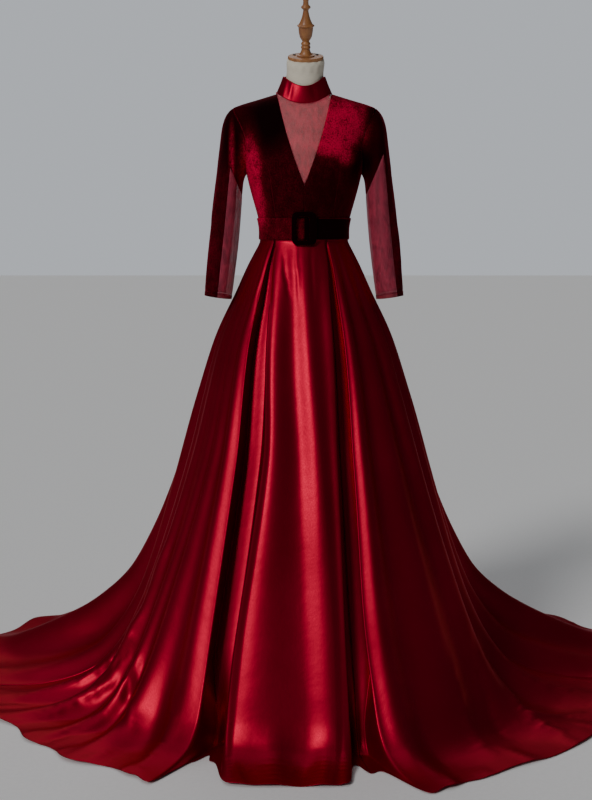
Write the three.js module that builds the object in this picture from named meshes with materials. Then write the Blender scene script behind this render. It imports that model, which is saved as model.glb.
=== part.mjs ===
// A-line prom dress with a sweep train, shown on a limbless dress form and its stand.
// Millimetres, +Z up. The front faces -Y. L and R in a name mean the -X and the +X side,
// as seen from the front.
// The origin is on the floor, at the middle of the stand's base disc.
// Every cloth piece is a closed thin wall, laid out on rings worked out from the sizes below.
import * as THREE from "three";

// Driving sizes
const CLOTH = 2; // wall of the satin, velvet and mesh
const SEAM = 0.3; // gap between two pieces at a seam
const BELT_WALL = 2.6;
const WAIST_SEAM = 1239.7; // height at which the skirt meets the bodice
const V_POINT = 1373; // lowest point of the neck inset
const UNDERARM = 1403;
const SHOULDER_TIP = 1578;
const NECK_SIDE = 1612; // height of the shoulder seam at the neck
const INSET_HALF_TOP = 71; // half width of the V where it meets the collar
const ARMHOLE_STEPS = 12; // steps up each side of the armhole
const FORM_CLEARANCE = 3.4; // from the cloth's middle to the form's skin at the shoulders

const DEG = Math.PI / 180;

// Materials
const finish = (color, roughness, metalness = 0) =>
  new THREE.MeshStandardMaterial({ color, roughness, metalness });
const MATERIALS = {
  satin: finish(0x8e1028, 0.35),
  velvet: finish(0x4a0612, 0.9),
  mesh: finish(0xa03448, 0.8),
  linen: finish(0xcdbfa8, 0.9),
  wood: finish(0x5a3018, 0.4),
  metal: finish(0x8a8a88, 0.35, 0.9),
};

const group = new THREE.Group();

function addMesh(name, geometry, material) {
  const mesh = new THREE.Mesh(geometry, MATERIALS[material]);
  mesh.name = name;
  group.add(mesh);
  return mesh;
}

const vec = (x, y, z) => new THREE.Vector3(x, y, z);
const lerp = THREE.MathUtils.lerp;
const clamp01 = (x) => Math.min(1, Math.max(0, x));
const smooth = (x) => THREE.MathUtils.smoothstep(x, 0, 1);

// Monotone cubic through a table: keeps the values between their neighbours.
function monotone(xs, ys) {
  const n = xs.length;
  const slope = xs.slice(1).map((x, i) => (ys[i + 1] - ys[i]) / (x - xs[i]));
  const tangent = xs.map((_, i) => {
    if (i === 0) return slope[0];
    if (i === n - 1) return slope[n - 2];
    const [a, b] = [slope[i - 1], slope[i]];
    return a * b <= 0 ? 0 : (2 * a * b) / (a + b);
  });
  return (x) => {
    let i = 0;
    while (i < n - 2 && x > xs[i + 1]) i += 1;
    const h = xs[i + 1] - xs[i];
    const t = clamp01((x - xs[i]) / h);
    const a = ys[i] * (1 + 2 * t) + tangent[i] * h * t;
    const b = ys[i + 1] * (3 - 2 * t) - tangent[i + 1] * h * (1 - t);
    return a * (1 - t) ** 2 + b * t * t;
  };
}

const column = (table, key) => table.map((row) => row[key]);

// A wall through a grid of middle points, with a unit normal at each.
// Cells that keep() refuses are left out, and every free edge gets a rim.
function wall({ points, normals, closed = false, thickness = CLOTH, keep = () => true }) {
  const rows = points.length;
  const cols = points[0].length;
  const cellCols = closed ? cols : cols - 1;
  const positions = [];
  const index = new Map();
  const vertex = (side, i, j) => {
    const key = `${side},${i},${j % cols}`;
    if (!index.has(key)) {
      const p = points[i][j % cols].clone();
      p.addScaledVector(normals[i][j % cols], (side * thickness) / 2);
      index.set(key, positions.length / 3);
      positions.push(p.x, p.y, p.z);
    }
    return index.get(key);
  };
  const kept = (i, j) => {
    if (i < 0 || i >= rows - 1) return false;
    if (!closed && (j < 0 || j >= cellCols)) return false;
    return keep(i, (j + cellCols) % cellCols);
  };
  const mid = [Math.floor(rows / 2) - 1, Math.floor(cols / 2) - 1].map((v) => Math.max(0, v));
  const corner = points[mid[0]][mid[1]];
  const across = points[mid[0]][mid[1] + 1].clone().sub(corner);
  const along = points[mid[0] + 1][mid[1]].clone().sub(corner);
  const outward = across.cross(along).dot(normals[mid[0]][mid[1]]) > 0;
  const triangles = [];
  const quad = (a, b, c, d) => {
    if (outward) triangles.push(a, b, c, a, c, d);
    else triangles.push(a, c, b, a, d, c);
  };
  for (let i = 0; i < rows - 1; i += 1) {
    for (let j = 0; j < cellCols; j += 1) {
      if (!kept(i, j)) continue;
      const corners = [[i, j], [i, j + 1], [i + 1, j + 1], [i + 1, j]];
      const outer = corners.map(([r, c]) => vertex(1, r, c));
      const inner = corners.map(([r, c]) => vertex(-1, r, c));
      quad(...outer);
      quad(inner[0], inner[3], inner[2], inner[1]);
      const neighbours = [[i - 1, j], [i, j + 1], [i + 1, j], [i, j - 1]];
      neighbours.forEach(([r, c], side) => {
        if (kept(r, c)) return;
        const next = (side + 1) % 4;
        quad(outer[next], outer[side], inner[side], inner[next]);
      });
    }
  }
  const geometry = new THREE.BufferGeometry();
  geometry.setAttribute("position", new THREE.Float32BufferAttribute(positions, 3));
  geometry.setIndex(triangles);
  geometry.computeVertexNormals();
  return geometry;
}

// Normals of a grid, from the cells round each point. side is 1 or -1.
function gridNormals(points, closed, side) {
  const rows = points.length;
  const cols = points[0].length;
  const cell = (i, j) => {
    const [a, b] = [((j % cols) + cols) % cols, (((j + 1) % cols) + cols) % cols];
    const d1 = points[i + 1][b].clone().sub(points[i][a]);
    const d2 = points[i + 1][a].clone().sub(points[i][b]);
    return d1.cross(d2).multiplyScalar(side).normalize();
  };
  return points.map((row, i) =>
    row.map((_, j) => {
      const sum = vec(0, 0, 0);
      for (const r of [i - 1, i]) {
        for (const c of [j - 1, j]) {
          if (r < 0 || r >= rows - 1) continue;
          if (!closed && (c < 0 || c >= cols - 1)) continue;
          sum.add(cell(r, c));
        }
      }
      return sum.normalize();
    })
  );
}

// Torso: level sections of the bodice, from the waist seam to the neck
const TORSO = [
  { z: 1225, half: 117, front: 91, back: 91 },
  { z: 1263, half: 117, front: 91, back: 91 },
  { z: 1290, half: 122, front: 95, back: 93 },
  { z: 1330, half: 133, front: 106, back: 98 },
  { z: 1370, half: 144, front: 116, back: 104 },
  { z: 1403, half: 152, front: 118, back: 108 },
  { z: 1440, half: 161, front: 113, back: 112 },
  { z: 1480, half: 169, front: 104, back: 113 },
  { z: 1520, half: 177, front: 94, back: 108 },
  { z: 1552, half: 184, front: 84, back: 98 },
  { z: 1570, half: 187, front: 76, back: 88 },
  { z: 1578, half: 186, front: 71, back: 82 },
  { z: 1590, half: 148, front: 66, back: 70 },
  { z: 1602, half: 108, front: 62, back: 61 },
  { z: 1612, half: 75, front: 60, back: 54 },
  { z: 1622, half: 66, front: 58, back: 50 },
];
const torsoZ = column(TORSO, "z");
const torsoHalf = monotone(torsoZ, column(TORSO, "half"));
const torsoFront = monotone(torsoZ, column(TORSO, "front"));
const torsoBack = monotone(torsoZ, column(TORSO, "back"));
// Princess seams give the front a soft fullness at bust height.
const BUST = { angle: 37, spread: 20, z: 1408, rise: 42, depth: 9 };

// angle is 0 at the front, 90 at the side seam and 180 at the back, negative on the -X side.
function torsoPoint(angle, z, out = 0) {
  const base = (a, h) => {
    const c = Math.cos(a * DEG);
    const depth = c > 0 ? torsoFront(h) : torsoBack(h);
    const swell =
      BUST.depth *
      Math.exp(-(((Math.abs(a) - BUST.angle) / BUST.spread) ** 2) - ((h - BUST.z) / BUST.rise) ** 2);
    return vec(torsoHalf(h) * Math.sin(a * DEG), -depth * c - (c > 0 ? swell : 0), h);
  };
  const point = base(angle, z);
  if (out === 0) return point;
  return point.addScaledVector(torsoNormal(angle, z, base), out);
}

function torsoNormal(angle, z, base = (a, h) => torsoPoint(a, h)) {
  const step = 0.5;
  const across = base(angle + step, z).sub(base(angle - step, z));
  const up = base(angle, z + step).sub(base(angle, z - step));
  return across.cross(up).normalize();
}

// Levels of the bodice's rows; those beside the armhole are the armhole's own points
const armholeZ = Array.from({ length: ARMHOLE_STEPS + 1 }, (_, i) =>
  lerp(UNDERARM, SHOULDER_TIP, (1 - Math.cos((Math.PI * i) / ARMHOLE_STEPS)) / 2)
);
const lowerZ = [WAIST_SEAM + 0.8, 1263, 1290, 1320, 1348, V_POINT, 1389];
const upperZ = [1586, 1595, 1604, NECK_SIDE];

const vHalf = (z) => {
  const t = clamp01((z - V_POINT) / (NECK_SIDE - V_POINT));
  return INSET_HALF_TOP * (t + 0.09 * Math.sin(Math.PI * t));
};
const vAngle = (z) => (z <= V_POINT ? 0 : Math.asin(clamp01(vHalf(z) / torsoHalf(z))) / DEG);
const armholeBow = (z) =>
  Math.sin(Math.PI * clamp01((z - UNDERARM) / (SHOULDER_TIP - UNDERARM))) ** 0.7;
const armholeFront = (z) => 90 - 26 * armholeBow(z);
const armholeBack = (z) => 90 + 22 * armholeBow(z);

// The princess seam runs up from the waist and curves out into the armhole.
const PRINCESS = [
  { z: 1225, angle: 37 },
  { z: 1290, angle: 37.5 },
  { z: 1348, angle: 37 },
  { z: 1403, angle: 36.5 },
  { z: 1429, angle: 39.5 },
  { z: 1447, angle: 47 },
  { z: 1468, angle: 66.4 },
];
const princess = monotone(column(PRINCESS, "z"), column(PRINCESS, "angle"));
const princessTop = armholeZ[5];
// Rows where the seam runs into the armhole, for the two panels that it joins
const princessEnd = [0.5, 0.94].map((t) => lerp(armholeZ[4], princessTop, t));
// There the seam lies aslant, and the side panel keeps a little farther from it.
const sideInner = (z) => princess(z) + (z > armholeZ[4] ? 0.35 : 0);

// A bodice panel between two angle curves, on level rows. side is 1 at +X and -1 at -X.
function bodicePanel(name, side, zRows, near, far, cols, material) {
  const inset = (z, a, sign) => {
    const arc = torsoPoint(a + 0.5, z).distanceTo(torsoPoint(a - 0.5, z));
    return a + (sign * SEAM) / 2 / arc;
  };
  const points = [];
  const normals = [];
  for (const z of zRows) {
    const from = inset(z, near(z), 1);
    const to = inset(z, far(z), -1);
    const rowPoints = [];
    const rowNormals = [];
    for (let j = 0; j <= cols; j += 1) {
      const a = side * lerp(from, to, j / cols);
      rowPoints.push(torsoPoint(a, z));
      rowNormals.push(torsoNormal(a, z));
    }
    points.push(rowPoints);
    normals.push(rowNormals);
  }
  addMesh(name, wall({ points, normals }), material);
}

const frontOuter = (z) => {
  if (z < princessTop) return princess(z);
  return z < SHOULDER_TIP ? armholeFront(z) : 90;
};
const sideOuter = (z) => {
  if (z <= UNDERARM) return 90;
  if (z <= armholeZ[4]) return armholeFront(z);
  const t = (z - armholeZ[4]) / (princessTop - armholeZ[4]);
  return lerp(armholeFront(armholeZ[4]), armholeFront(princessTop), t);
};
const backOuter = (z) => (z <= UNDERARM || z >= SHOULDER_TIP ? 90 : armholeBack(z));
const bodiceRows = [...lowerZ, ...armholeZ, ...upperZ];
const frontRows = [...bodiceRows, ...princessEnd].sort((a, b) => a - b);
const sideRows = frontRows.filter((z) => z < princessTop);

for (const [label, side] of [["L", -1], ["R", 1]]) {
  bodicePanel(`bodice_front_${label}`, side, frontRows, vAngle, frontOuter, 4, "velvet");
  bodicePanel(`bodice_side_${label}`, side, sideRows, sideInner, sideOuter, 4, "velvet");
  bodicePanel(`bodice_back_${label}`, side, bodiceRows, backOuter, () => 180, 7, "velvet");
}

// Collar line: where the stand collar leaves the bodice, low in front and high behind
const INSET_DIP = 28; // how far the inset's top edge dips at the centre front
// u runs from -1 to 1 across the inset
const insetTop = (u) => NECK_SIDE - INSET_DIP * (1 - Math.abs(u) ** 2.2);
const insetAngle = (u) => Math.asin((INSET_HALF_TOP * u) / torsoHalf(insetTop(u))) / DEG;

// The inset's columns end on levels of the bodice's rows, so the two edges keep together.
const insetSteps = [3, 4, 6, 8, 10].map((step) => armholeZ[step]);
const INSET_LEVELS = [V_POINT + 2, ...insetSteps, SHOULDER_TIP, ...upperZ];
const INSET_GAP = 1.1; // from the V edge, measured across the front
function neckInset() {
  const rows = 5;
  const half = INSET_LEVELS.map((z) => (z - V_POINT) / (NECK_SIDE - V_POINT));
  half[half.length - 1] = 0.975; // the panel stops just short of its two upper corners
  const across = [...half.slice(1).map((u) => -u).reverse(), 0, ...half.slice(1)];
  const points = [];
  const normals = [];
  for (let i = 0; i <= rows; i += 1) {
    const rowPoints = [];
    const rowNormals = [];
    for (const u of across) {
      const zV = lerp(V_POINT, NECK_SIDE, Math.abs(u)) + (u === 0 ? 2 : 0);
      const low = Math.sign(u) * Math.max(0, vHalf(zV) - INSET_GAP);
      const x = lerp(low, INSET_HALF_TOP * u, i / rows);
      const z = lerp(zV, insetTop(u), i / rows);
      const angle = Math.asin(x / torsoHalf(z)) / DEG;
      rowPoints.push(torsoPoint(angle, z));
      rowNormals.push(torsoNormal(angle, z));
    }
    points.push(rowPoints);
    normals.push(rowNormals);
  }
  addMesh("neck_inset", wall({ points, normals }), "mesh");
}
neckInset();

// Collar: a stand band that rises from the collar line and leans in towards the neck
const COLLAR = { half: 55, front: 59, back: 50, side: 1659, dip: 29, rise: 12, lift: 0.5 };
function collarFoot(angle) {
  const size = Math.abs(angle);
  const side = Math.sign(angle);
  const u = Math.sin(Math.min(90, size) * DEG);
  if (size <= 90) return torsoPoint(side * insetAngle(u), insetTop(u) + COLLAR.lift);
  const back = (size - 90) / 90;
  return torsoPoint(side * lerp(insetAngle(1), 180, back), NECK_SIDE + COLLAR.lift + 3 * back);
}
function collarPoint(angle, t) {
  const c = Math.cos(angle * DEG);
  const { half, front, back, side, dip, rise } = COLLAR;
  const height = side - (c > 0 ? dip * c ** 2.2 : -rise * c * c);
  const top = vec(half * Math.sin(angle * DEG), -(c > 0 ? front : back) * c, height);
  return collarFoot(angle).lerp(top, t);
}
{
  const cols = 32;
  const rows = 3;
  const points = Array.from({ length: rows + 1 }, (_, i) =>
    Array.from({ length: cols }, (_, j) => collarPoint(-180 + (360 * j) / cols, i / rows))
  );
  addMesh("collar_band", wall({ points, normals: gridNormals(points, true, 1), closed: true }), "satin");
}

// Sleeves. turn is 0 at the outside, 90 at the front, 180 at the inside and 270 behind.
const SLEEVE_COLS = 2 * ARMHOLE_STEPS;
const SLEEVE_LIFT = 1.6; // from the bodice's edge to the sleeve's, more at its top and bottom
const ARMHOLE_MIDDLE = (UNDERARM + SHOULDER_TIP) / 2;
const SLEEVE = [
  { t: 0.0, outX: 187, outZ: 1578, inX: 153, inZ: 1403, depth: 45 },
  { t: 0.05, outX: 203, outZ: 1568, inX: 161, inZ: 1398, depth: 49 },
  { t: 0.12, outX: 214, outZ: 1538, inX: 163.5, inZ: 1376, depth: 54 },
  { t: 0.22, outX: 223, outZ: 1480, inX: 166, inZ: 1346, depth: 57 },
  { t: 0.4, outX: 235, outZ: 1385, inX: 170, inZ: 1290, depth: 56 },
  { t: 0.6, outX: 247, outZ: 1280, inX: 177, inZ: 1217, depth: 51 },
  { t: 0.8, outX: 258, outZ: 1180, inX: 186, inZ: 1147, depth: 46 },
  { t: 1.0, outX: 267, outZ: 1084, inX: 196, inZ: 1074, depth: 42 },
];
const sleeveT = column(SLEEVE, "t");
const sleeveSize = {};
for (const key of ["outX", "outZ", "inX", "inZ", "depth"]) {
  sleeveSize[key] = monotone(sleeveT, column(SLEEVE, key));
}
// Soft folds that hang in the sleeve: where they lie round it, how deep, and the stretch they take
const SLEEVE_FOLDS = [
  { turn: 60, depth: -3.5, spread: 16, from: 0.25, to: 0.95 },
  { turn: 25, depth: 3, spread: 14, from: 0.3, to: 1.05 },
  { turn: 150, depth: 3, spread: 16, from: 0.35, to: 1.05 },
  { turn: 215, depth: -3, spread: 14, from: 0.3, to: 0.9 },
  { turn: 290, depth: 3.5, spread: 16, from: 0.3, to: 1.05 },
];
const foldBell = (turn, fold) => {
  const gap = ((turn - fold.turn + 540) % 360) - 180;
  return Math.exp(-((gap / fold.spread) ** 2));
};

// The armhole loop lies on the torso, just outside the bodice's edge.
function armholePoint(turn) {
  const z = lerp(UNDERARM, SHOULDER_TIP, (1 + Math.cos(turn * DEG)) / 2);
  const ahead = (turn + 360) % 360 <= 180;
  const angle = ahead ? armholeFront(z) : armholeBack(z);
  return { angle, z };
}

function sleevePoint(turn, t) {
  const size = (key) => sleeveSize[key](t);
  const c = Math.cos(turn * DEG);
  const s = Math.sin(turn * DEG);
  const x = lerp(size("inX"), size("outX"), (1 + c) / 2);
  const z = lerp(size("inZ"), size("outZ"), (1 + c) / 2);
  const hung = vec(x, -size("depth") * s, z);
  const centre = vec(lerp(size("inX"), size("outX"), 0.5), 0, z);
  let swell = 0;
  for (const fold of SLEEVE_FOLDS) {
    const along = smooth((t - fold.from) / 0.2) * smooth((fold.to - t) / 0.15);
    swell += fold.depth * along * foldBell(turn, fold);
  }
  hung.addScaledVector(hung.clone().sub(centre).normalize(), swell);
  if (t > 0.12) return hung;
  const loop = armholePoint(turn);
  const seam = torsoPoint(loop.angle, loop.z);
  const before = torsoPoint(armholePoint(turn - 2).angle, armholePoint(turn - 2).z);
  const after = torsoPoint(armholePoint(turn + 2).angle, armholePoint(turn + 2).z);
  const away = torsoNormal(loop.angle, loop.z).cross(after.sub(before)).normalize();
  if (away.dot(torsoPoint(90, ARMHOLE_MIDDLE).sub(seam)) < 0) away.negate();
  const lift = SLEEVE_LIFT * (1 + 0.6 * c ** 4);
  seam.addScaledVector(away, lift);
  return seam.lerp(hung, smooth(t / 0.12));
}

const HEM_BAND = 0.975; // where the cuff's narrow hem band starts
const MESH_TOP = 0.2; // where the mesh panel starts, at underarm height
const velvetRows = [0, 0.02, 0.05, 0.09, 0.14, MESH_TOP, 0.33, 0.48, 0.64, 0.81, HEM_BAND];

// side -1 mirrors the sleeve; panel gives the mesh's first and last column on that side.
function sleeve(label, side, panel) {
  const step = 360 / SLEEVE_COLS;
  const place = (p) => vec(side * p.x, p.y, p.z);
  const grid = (rows, turns) => rows.map((t) => turns.map((turn) => place(sleevePoint(turn, t))));
  const turns = Array.from({ length: SLEEVE_COLS }, (_, j) => j * step);
  const velvet = grid(velvetRows, turns);
  const normals = gridNormals(velvet, true, side);
  const meshRow = velvetRows.indexOf(MESH_TOP);
  const inMesh = (i, j) => i >= meshRow && j >= panel.first && j < panel.last;
  addMesh(
    `sleeve_${label}`,
    wall({ points: velvet, normals, closed: true, keep: (i, j) => !inMesh(i, j) }),
    "velvet"
  );
  const seamTurn = SEAM / 50 / DEG;
  const seamT = SEAM / 185;
  const meshRows = velvetRows.slice(meshRow);
  meshRows[0] += seamT;
  const meshTurns = turns.slice(panel.first, panel.last + 1);
  meshTurns[0] += seamTurn;
  meshTurns[meshTurns.length - 1] -= seamTurn;
  const meshGrid = grid(meshRows, meshTurns);
  const meshNormals = normals.slice(meshRow).map((row) => row.slice(panel.first, panel.last + 1));
  addMesh(`sleeve_mesh_${label}`, wall({ points: meshGrid, normals: meshNormals }), "mesh");
  const bandGrid = grid([HEM_BAND + seamT, 1], turns);
  addMesh(
    `sleeve_hem_${label}`,
    wall({ points: bandGrid, normals: gridNormals(bandGrid, true, side), closed: true, thickness: 2.4 }),
    "mesh"
  );
}
sleeve("L", -1, { first: 6, last: 16 });
sleeve("R", 1, { first: 4, last: 14 });

// Belt: a velvet band round the waist, its overlapping end, and the covered buckle
const BELT = { bottom: 1233, middle: 1263, top: 1290, bodiceGap: 1 };
const beltOut = CLOTH / 2 + BELT.bodiceGap + BELT_WALL / 2;
const tongueOut = beltOut + BELT_WALL + SEAM + 0.4;
const BUCKLE = { wall: 5, half: 33, windowHalf: 17.5, height: 86, window: 63, corner: 4.5, z: 1263 };
const buckleOut = tongueOut + BELT_WALL / 2 + SEAM + 0.8 + BUCKLE.wall / 2;

// Below its middle the belt is upright, and above it follows the bodice.
function waistPoint(angle, z, out) {
  const p = torsoPoint(angle, Math.max(BELT.middle, z), out);
  return vec(p.x, p.y, z);
}
function beltPiece(name, from, to, out, closed, zRows) {
  const cols = closed ? 36 : Math.max(4, Math.round((to - from) / 9));
  const count = closed ? cols : cols + 1;
  const points = zRows.map((z) =>
    Array.from({ length: count }, (_, j) => waistPoint(lerp(from, to, j / cols), z, out))
  );
  const normals = gridNormals(points, closed, 1);
  addMesh(name, wall({ points, normals, closed, thickness: BELT_WALL }), "velvet");
}
beltPiece("belt_band", -180, 180, beltOut, true, [BELT.bottom, BELT.middle, BELT.top]);
beltPiece("belt_tongue", 0, 72, tongueOut, false, [BELT.bottom + 1.5, BELT.middle, BELT.top - 1.5]);

function buckle() {
  const around = 32;
  const rings = [0, 1];
  const outline = (turn, half, height) => {
    const c = Math.cos(turn);
    const s = Math.sin(turn);
    const n = BUCKLE.corner;
    const r = (Math.abs(c) ** n + Math.abs(s) ** n) ** (-1 / n);
    return [half * r * c, (height / 2) * r * s];
  };
  const points = rings.map((t) =>
    Array.from({ length: around }, (_, j) => {
      const turn = (2 * Math.PI * j) / around;
      const [x0, z0] = outline(turn, BUCKLE.windowHalf, BUCKLE.window);
      const [x1, z1] = outline(turn, BUCKLE.half, BUCKLE.height);
      const x = lerp(x0, x1, t);
      const z = BUCKLE.z + lerp(z0, z1, t);
      const angle = Math.asin(x / (torsoHalf(BELT.middle) + buckleOut)) / DEG;
      return vec(x, waistPoint(angle, z, buckleOut).y, z);
    })
  );
  const normals = points.map((row) => row.map((p) => vec(p.x / 260, -1, 0).normalize()));
  addMesh("belt_buckle", wall({ points, normals, closed: true, thickness: BUCKLE.wall }), "velvet");
}
buckle();

// Skirt: rings from the waist seam out to the hem on the floor.
// Each has a radius and a height at the front, the front quarter, the side, the train and the back.
const RING_ANGLES = [0, 50, 88, 115, 180];
const RINGS = [
  { name: "waist", r: [91, 101, 117, 111, 91], z: [1239.7, 1239.7, 1239.7, 1239.7, 1239.7] },
  { name: "belt", r: [92.5, 102.5, 118.5, 112.5, 92.5], z: [1221, 1221, 1221, 1221, 1221] },
  { name: "yoke", r: [122, 134, 149, 146, 128], z: [1165, 1165, 1165, 1165, 1165] },
  { name: "hip", r: [156, 168, 180, 180, 164], z: [1090, 1090, 1090, 1090, 1090] },
  { name: "thigh", r: [209, 222, 233, 236, 210], z: [970, 970, 970, 965, 960] },
  { name: "leg", r: [267, 274, 277, 286, 258], z: [825, 820, 815, 805, 790] },
  { name: "knee", r: [322, 325, 315, 334, 303], z: [680, 670, 665, 650, 630] },
  { name: "calf", r: [378, 377, 353, 386, 342], z: [540, 520, 525, 505, 480] },
  { name: "shin", r: [430, 430, 392, 446, 382], z: [400, 380, 390, 378, 350] },
  { name: "low", r: [478, 482, 437, 520, 420], z: [275, 250, 265, 262, 235] },
  { name: "ankle", r: [520, 532, 497, 606, 453], z: [165, 140, 158, 190, 135] },
  { name: "break", r: [556, 582, 576, 690, 480], z: [75, 60, 76, 138, 60] },
  { name: "floorIn", r: [585, 632, 662, 772, 506], z: [22, 20, 34, 94, 20] },
  { name: "floorMid", r: [618, 690, 748, 860, 533], z: [5, 5, 12, 52, 6] },
  { name: "floorOut", r: [652, 742, 820, 948, 557], z: [1, 1, 3, 18, 1] },
  { name: "hem", r: [690, 790, 884, 1030, 580], z: [1, 1, 1, 1, 1] },
];
const HEM_RING = RINGS.length - 1;
const ringIndex = (name) => RINGS.findIndex((ring) => ring.name === name);

// Values at the stations round the skirt, carried round it with level ends at front and back
function aroundSkirt(values) {
  const angles = [-RING_ANGLES[1], ...RING_ANGLES, 360 - RING_ANGLES[3]];
  const ends = [values[1], ...values, values[3]];
  const curve = new THREE.CatmullRomCurve3(
    ends.map((v, i) => vec(angles[i], v, 0)),
    false,
    "centripetal"
  );
  return (angle) => {
    const a = Math.min(180, Math.abs(angle));
    let lo = 0;
    let hi = 1;
    for (let n = 0; n < 24; n += 1) {
      const mid = (lo + hi) / 2;
      if (curve.getPoint(mid).x < a) lo = mid;
      else hi = mid;
    }
    return curve.getPoint(lo).y;
  };
}
// The first two rings lie on the bodice's own waist section, which is an ellipse.
const waistRadius = (angle, out) => {
  const section = torsoPoint(0, BELT.middle);
  const across = Math.sin(angle * DEG) / (torsoHalf(BELT.middle) + out);
  const deep = Math.cos(angle * DEG) / (-section.y + out);
  return 1 / Math.hypot(across, deep);
};
const ringRadius = RINGS.map((ring) => aroundSkirt(ring.r));
ringRadius[0] = (angle) => waistRadius(angle, 0);
ringRadius[1] = (angle) => waistRadius(angle, 0.8);
const ringHeight = RINGS.map((ring) => aroundSkirt(ring.z));
const ringNumbers = RINGS.map((_, k) => k);

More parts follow.
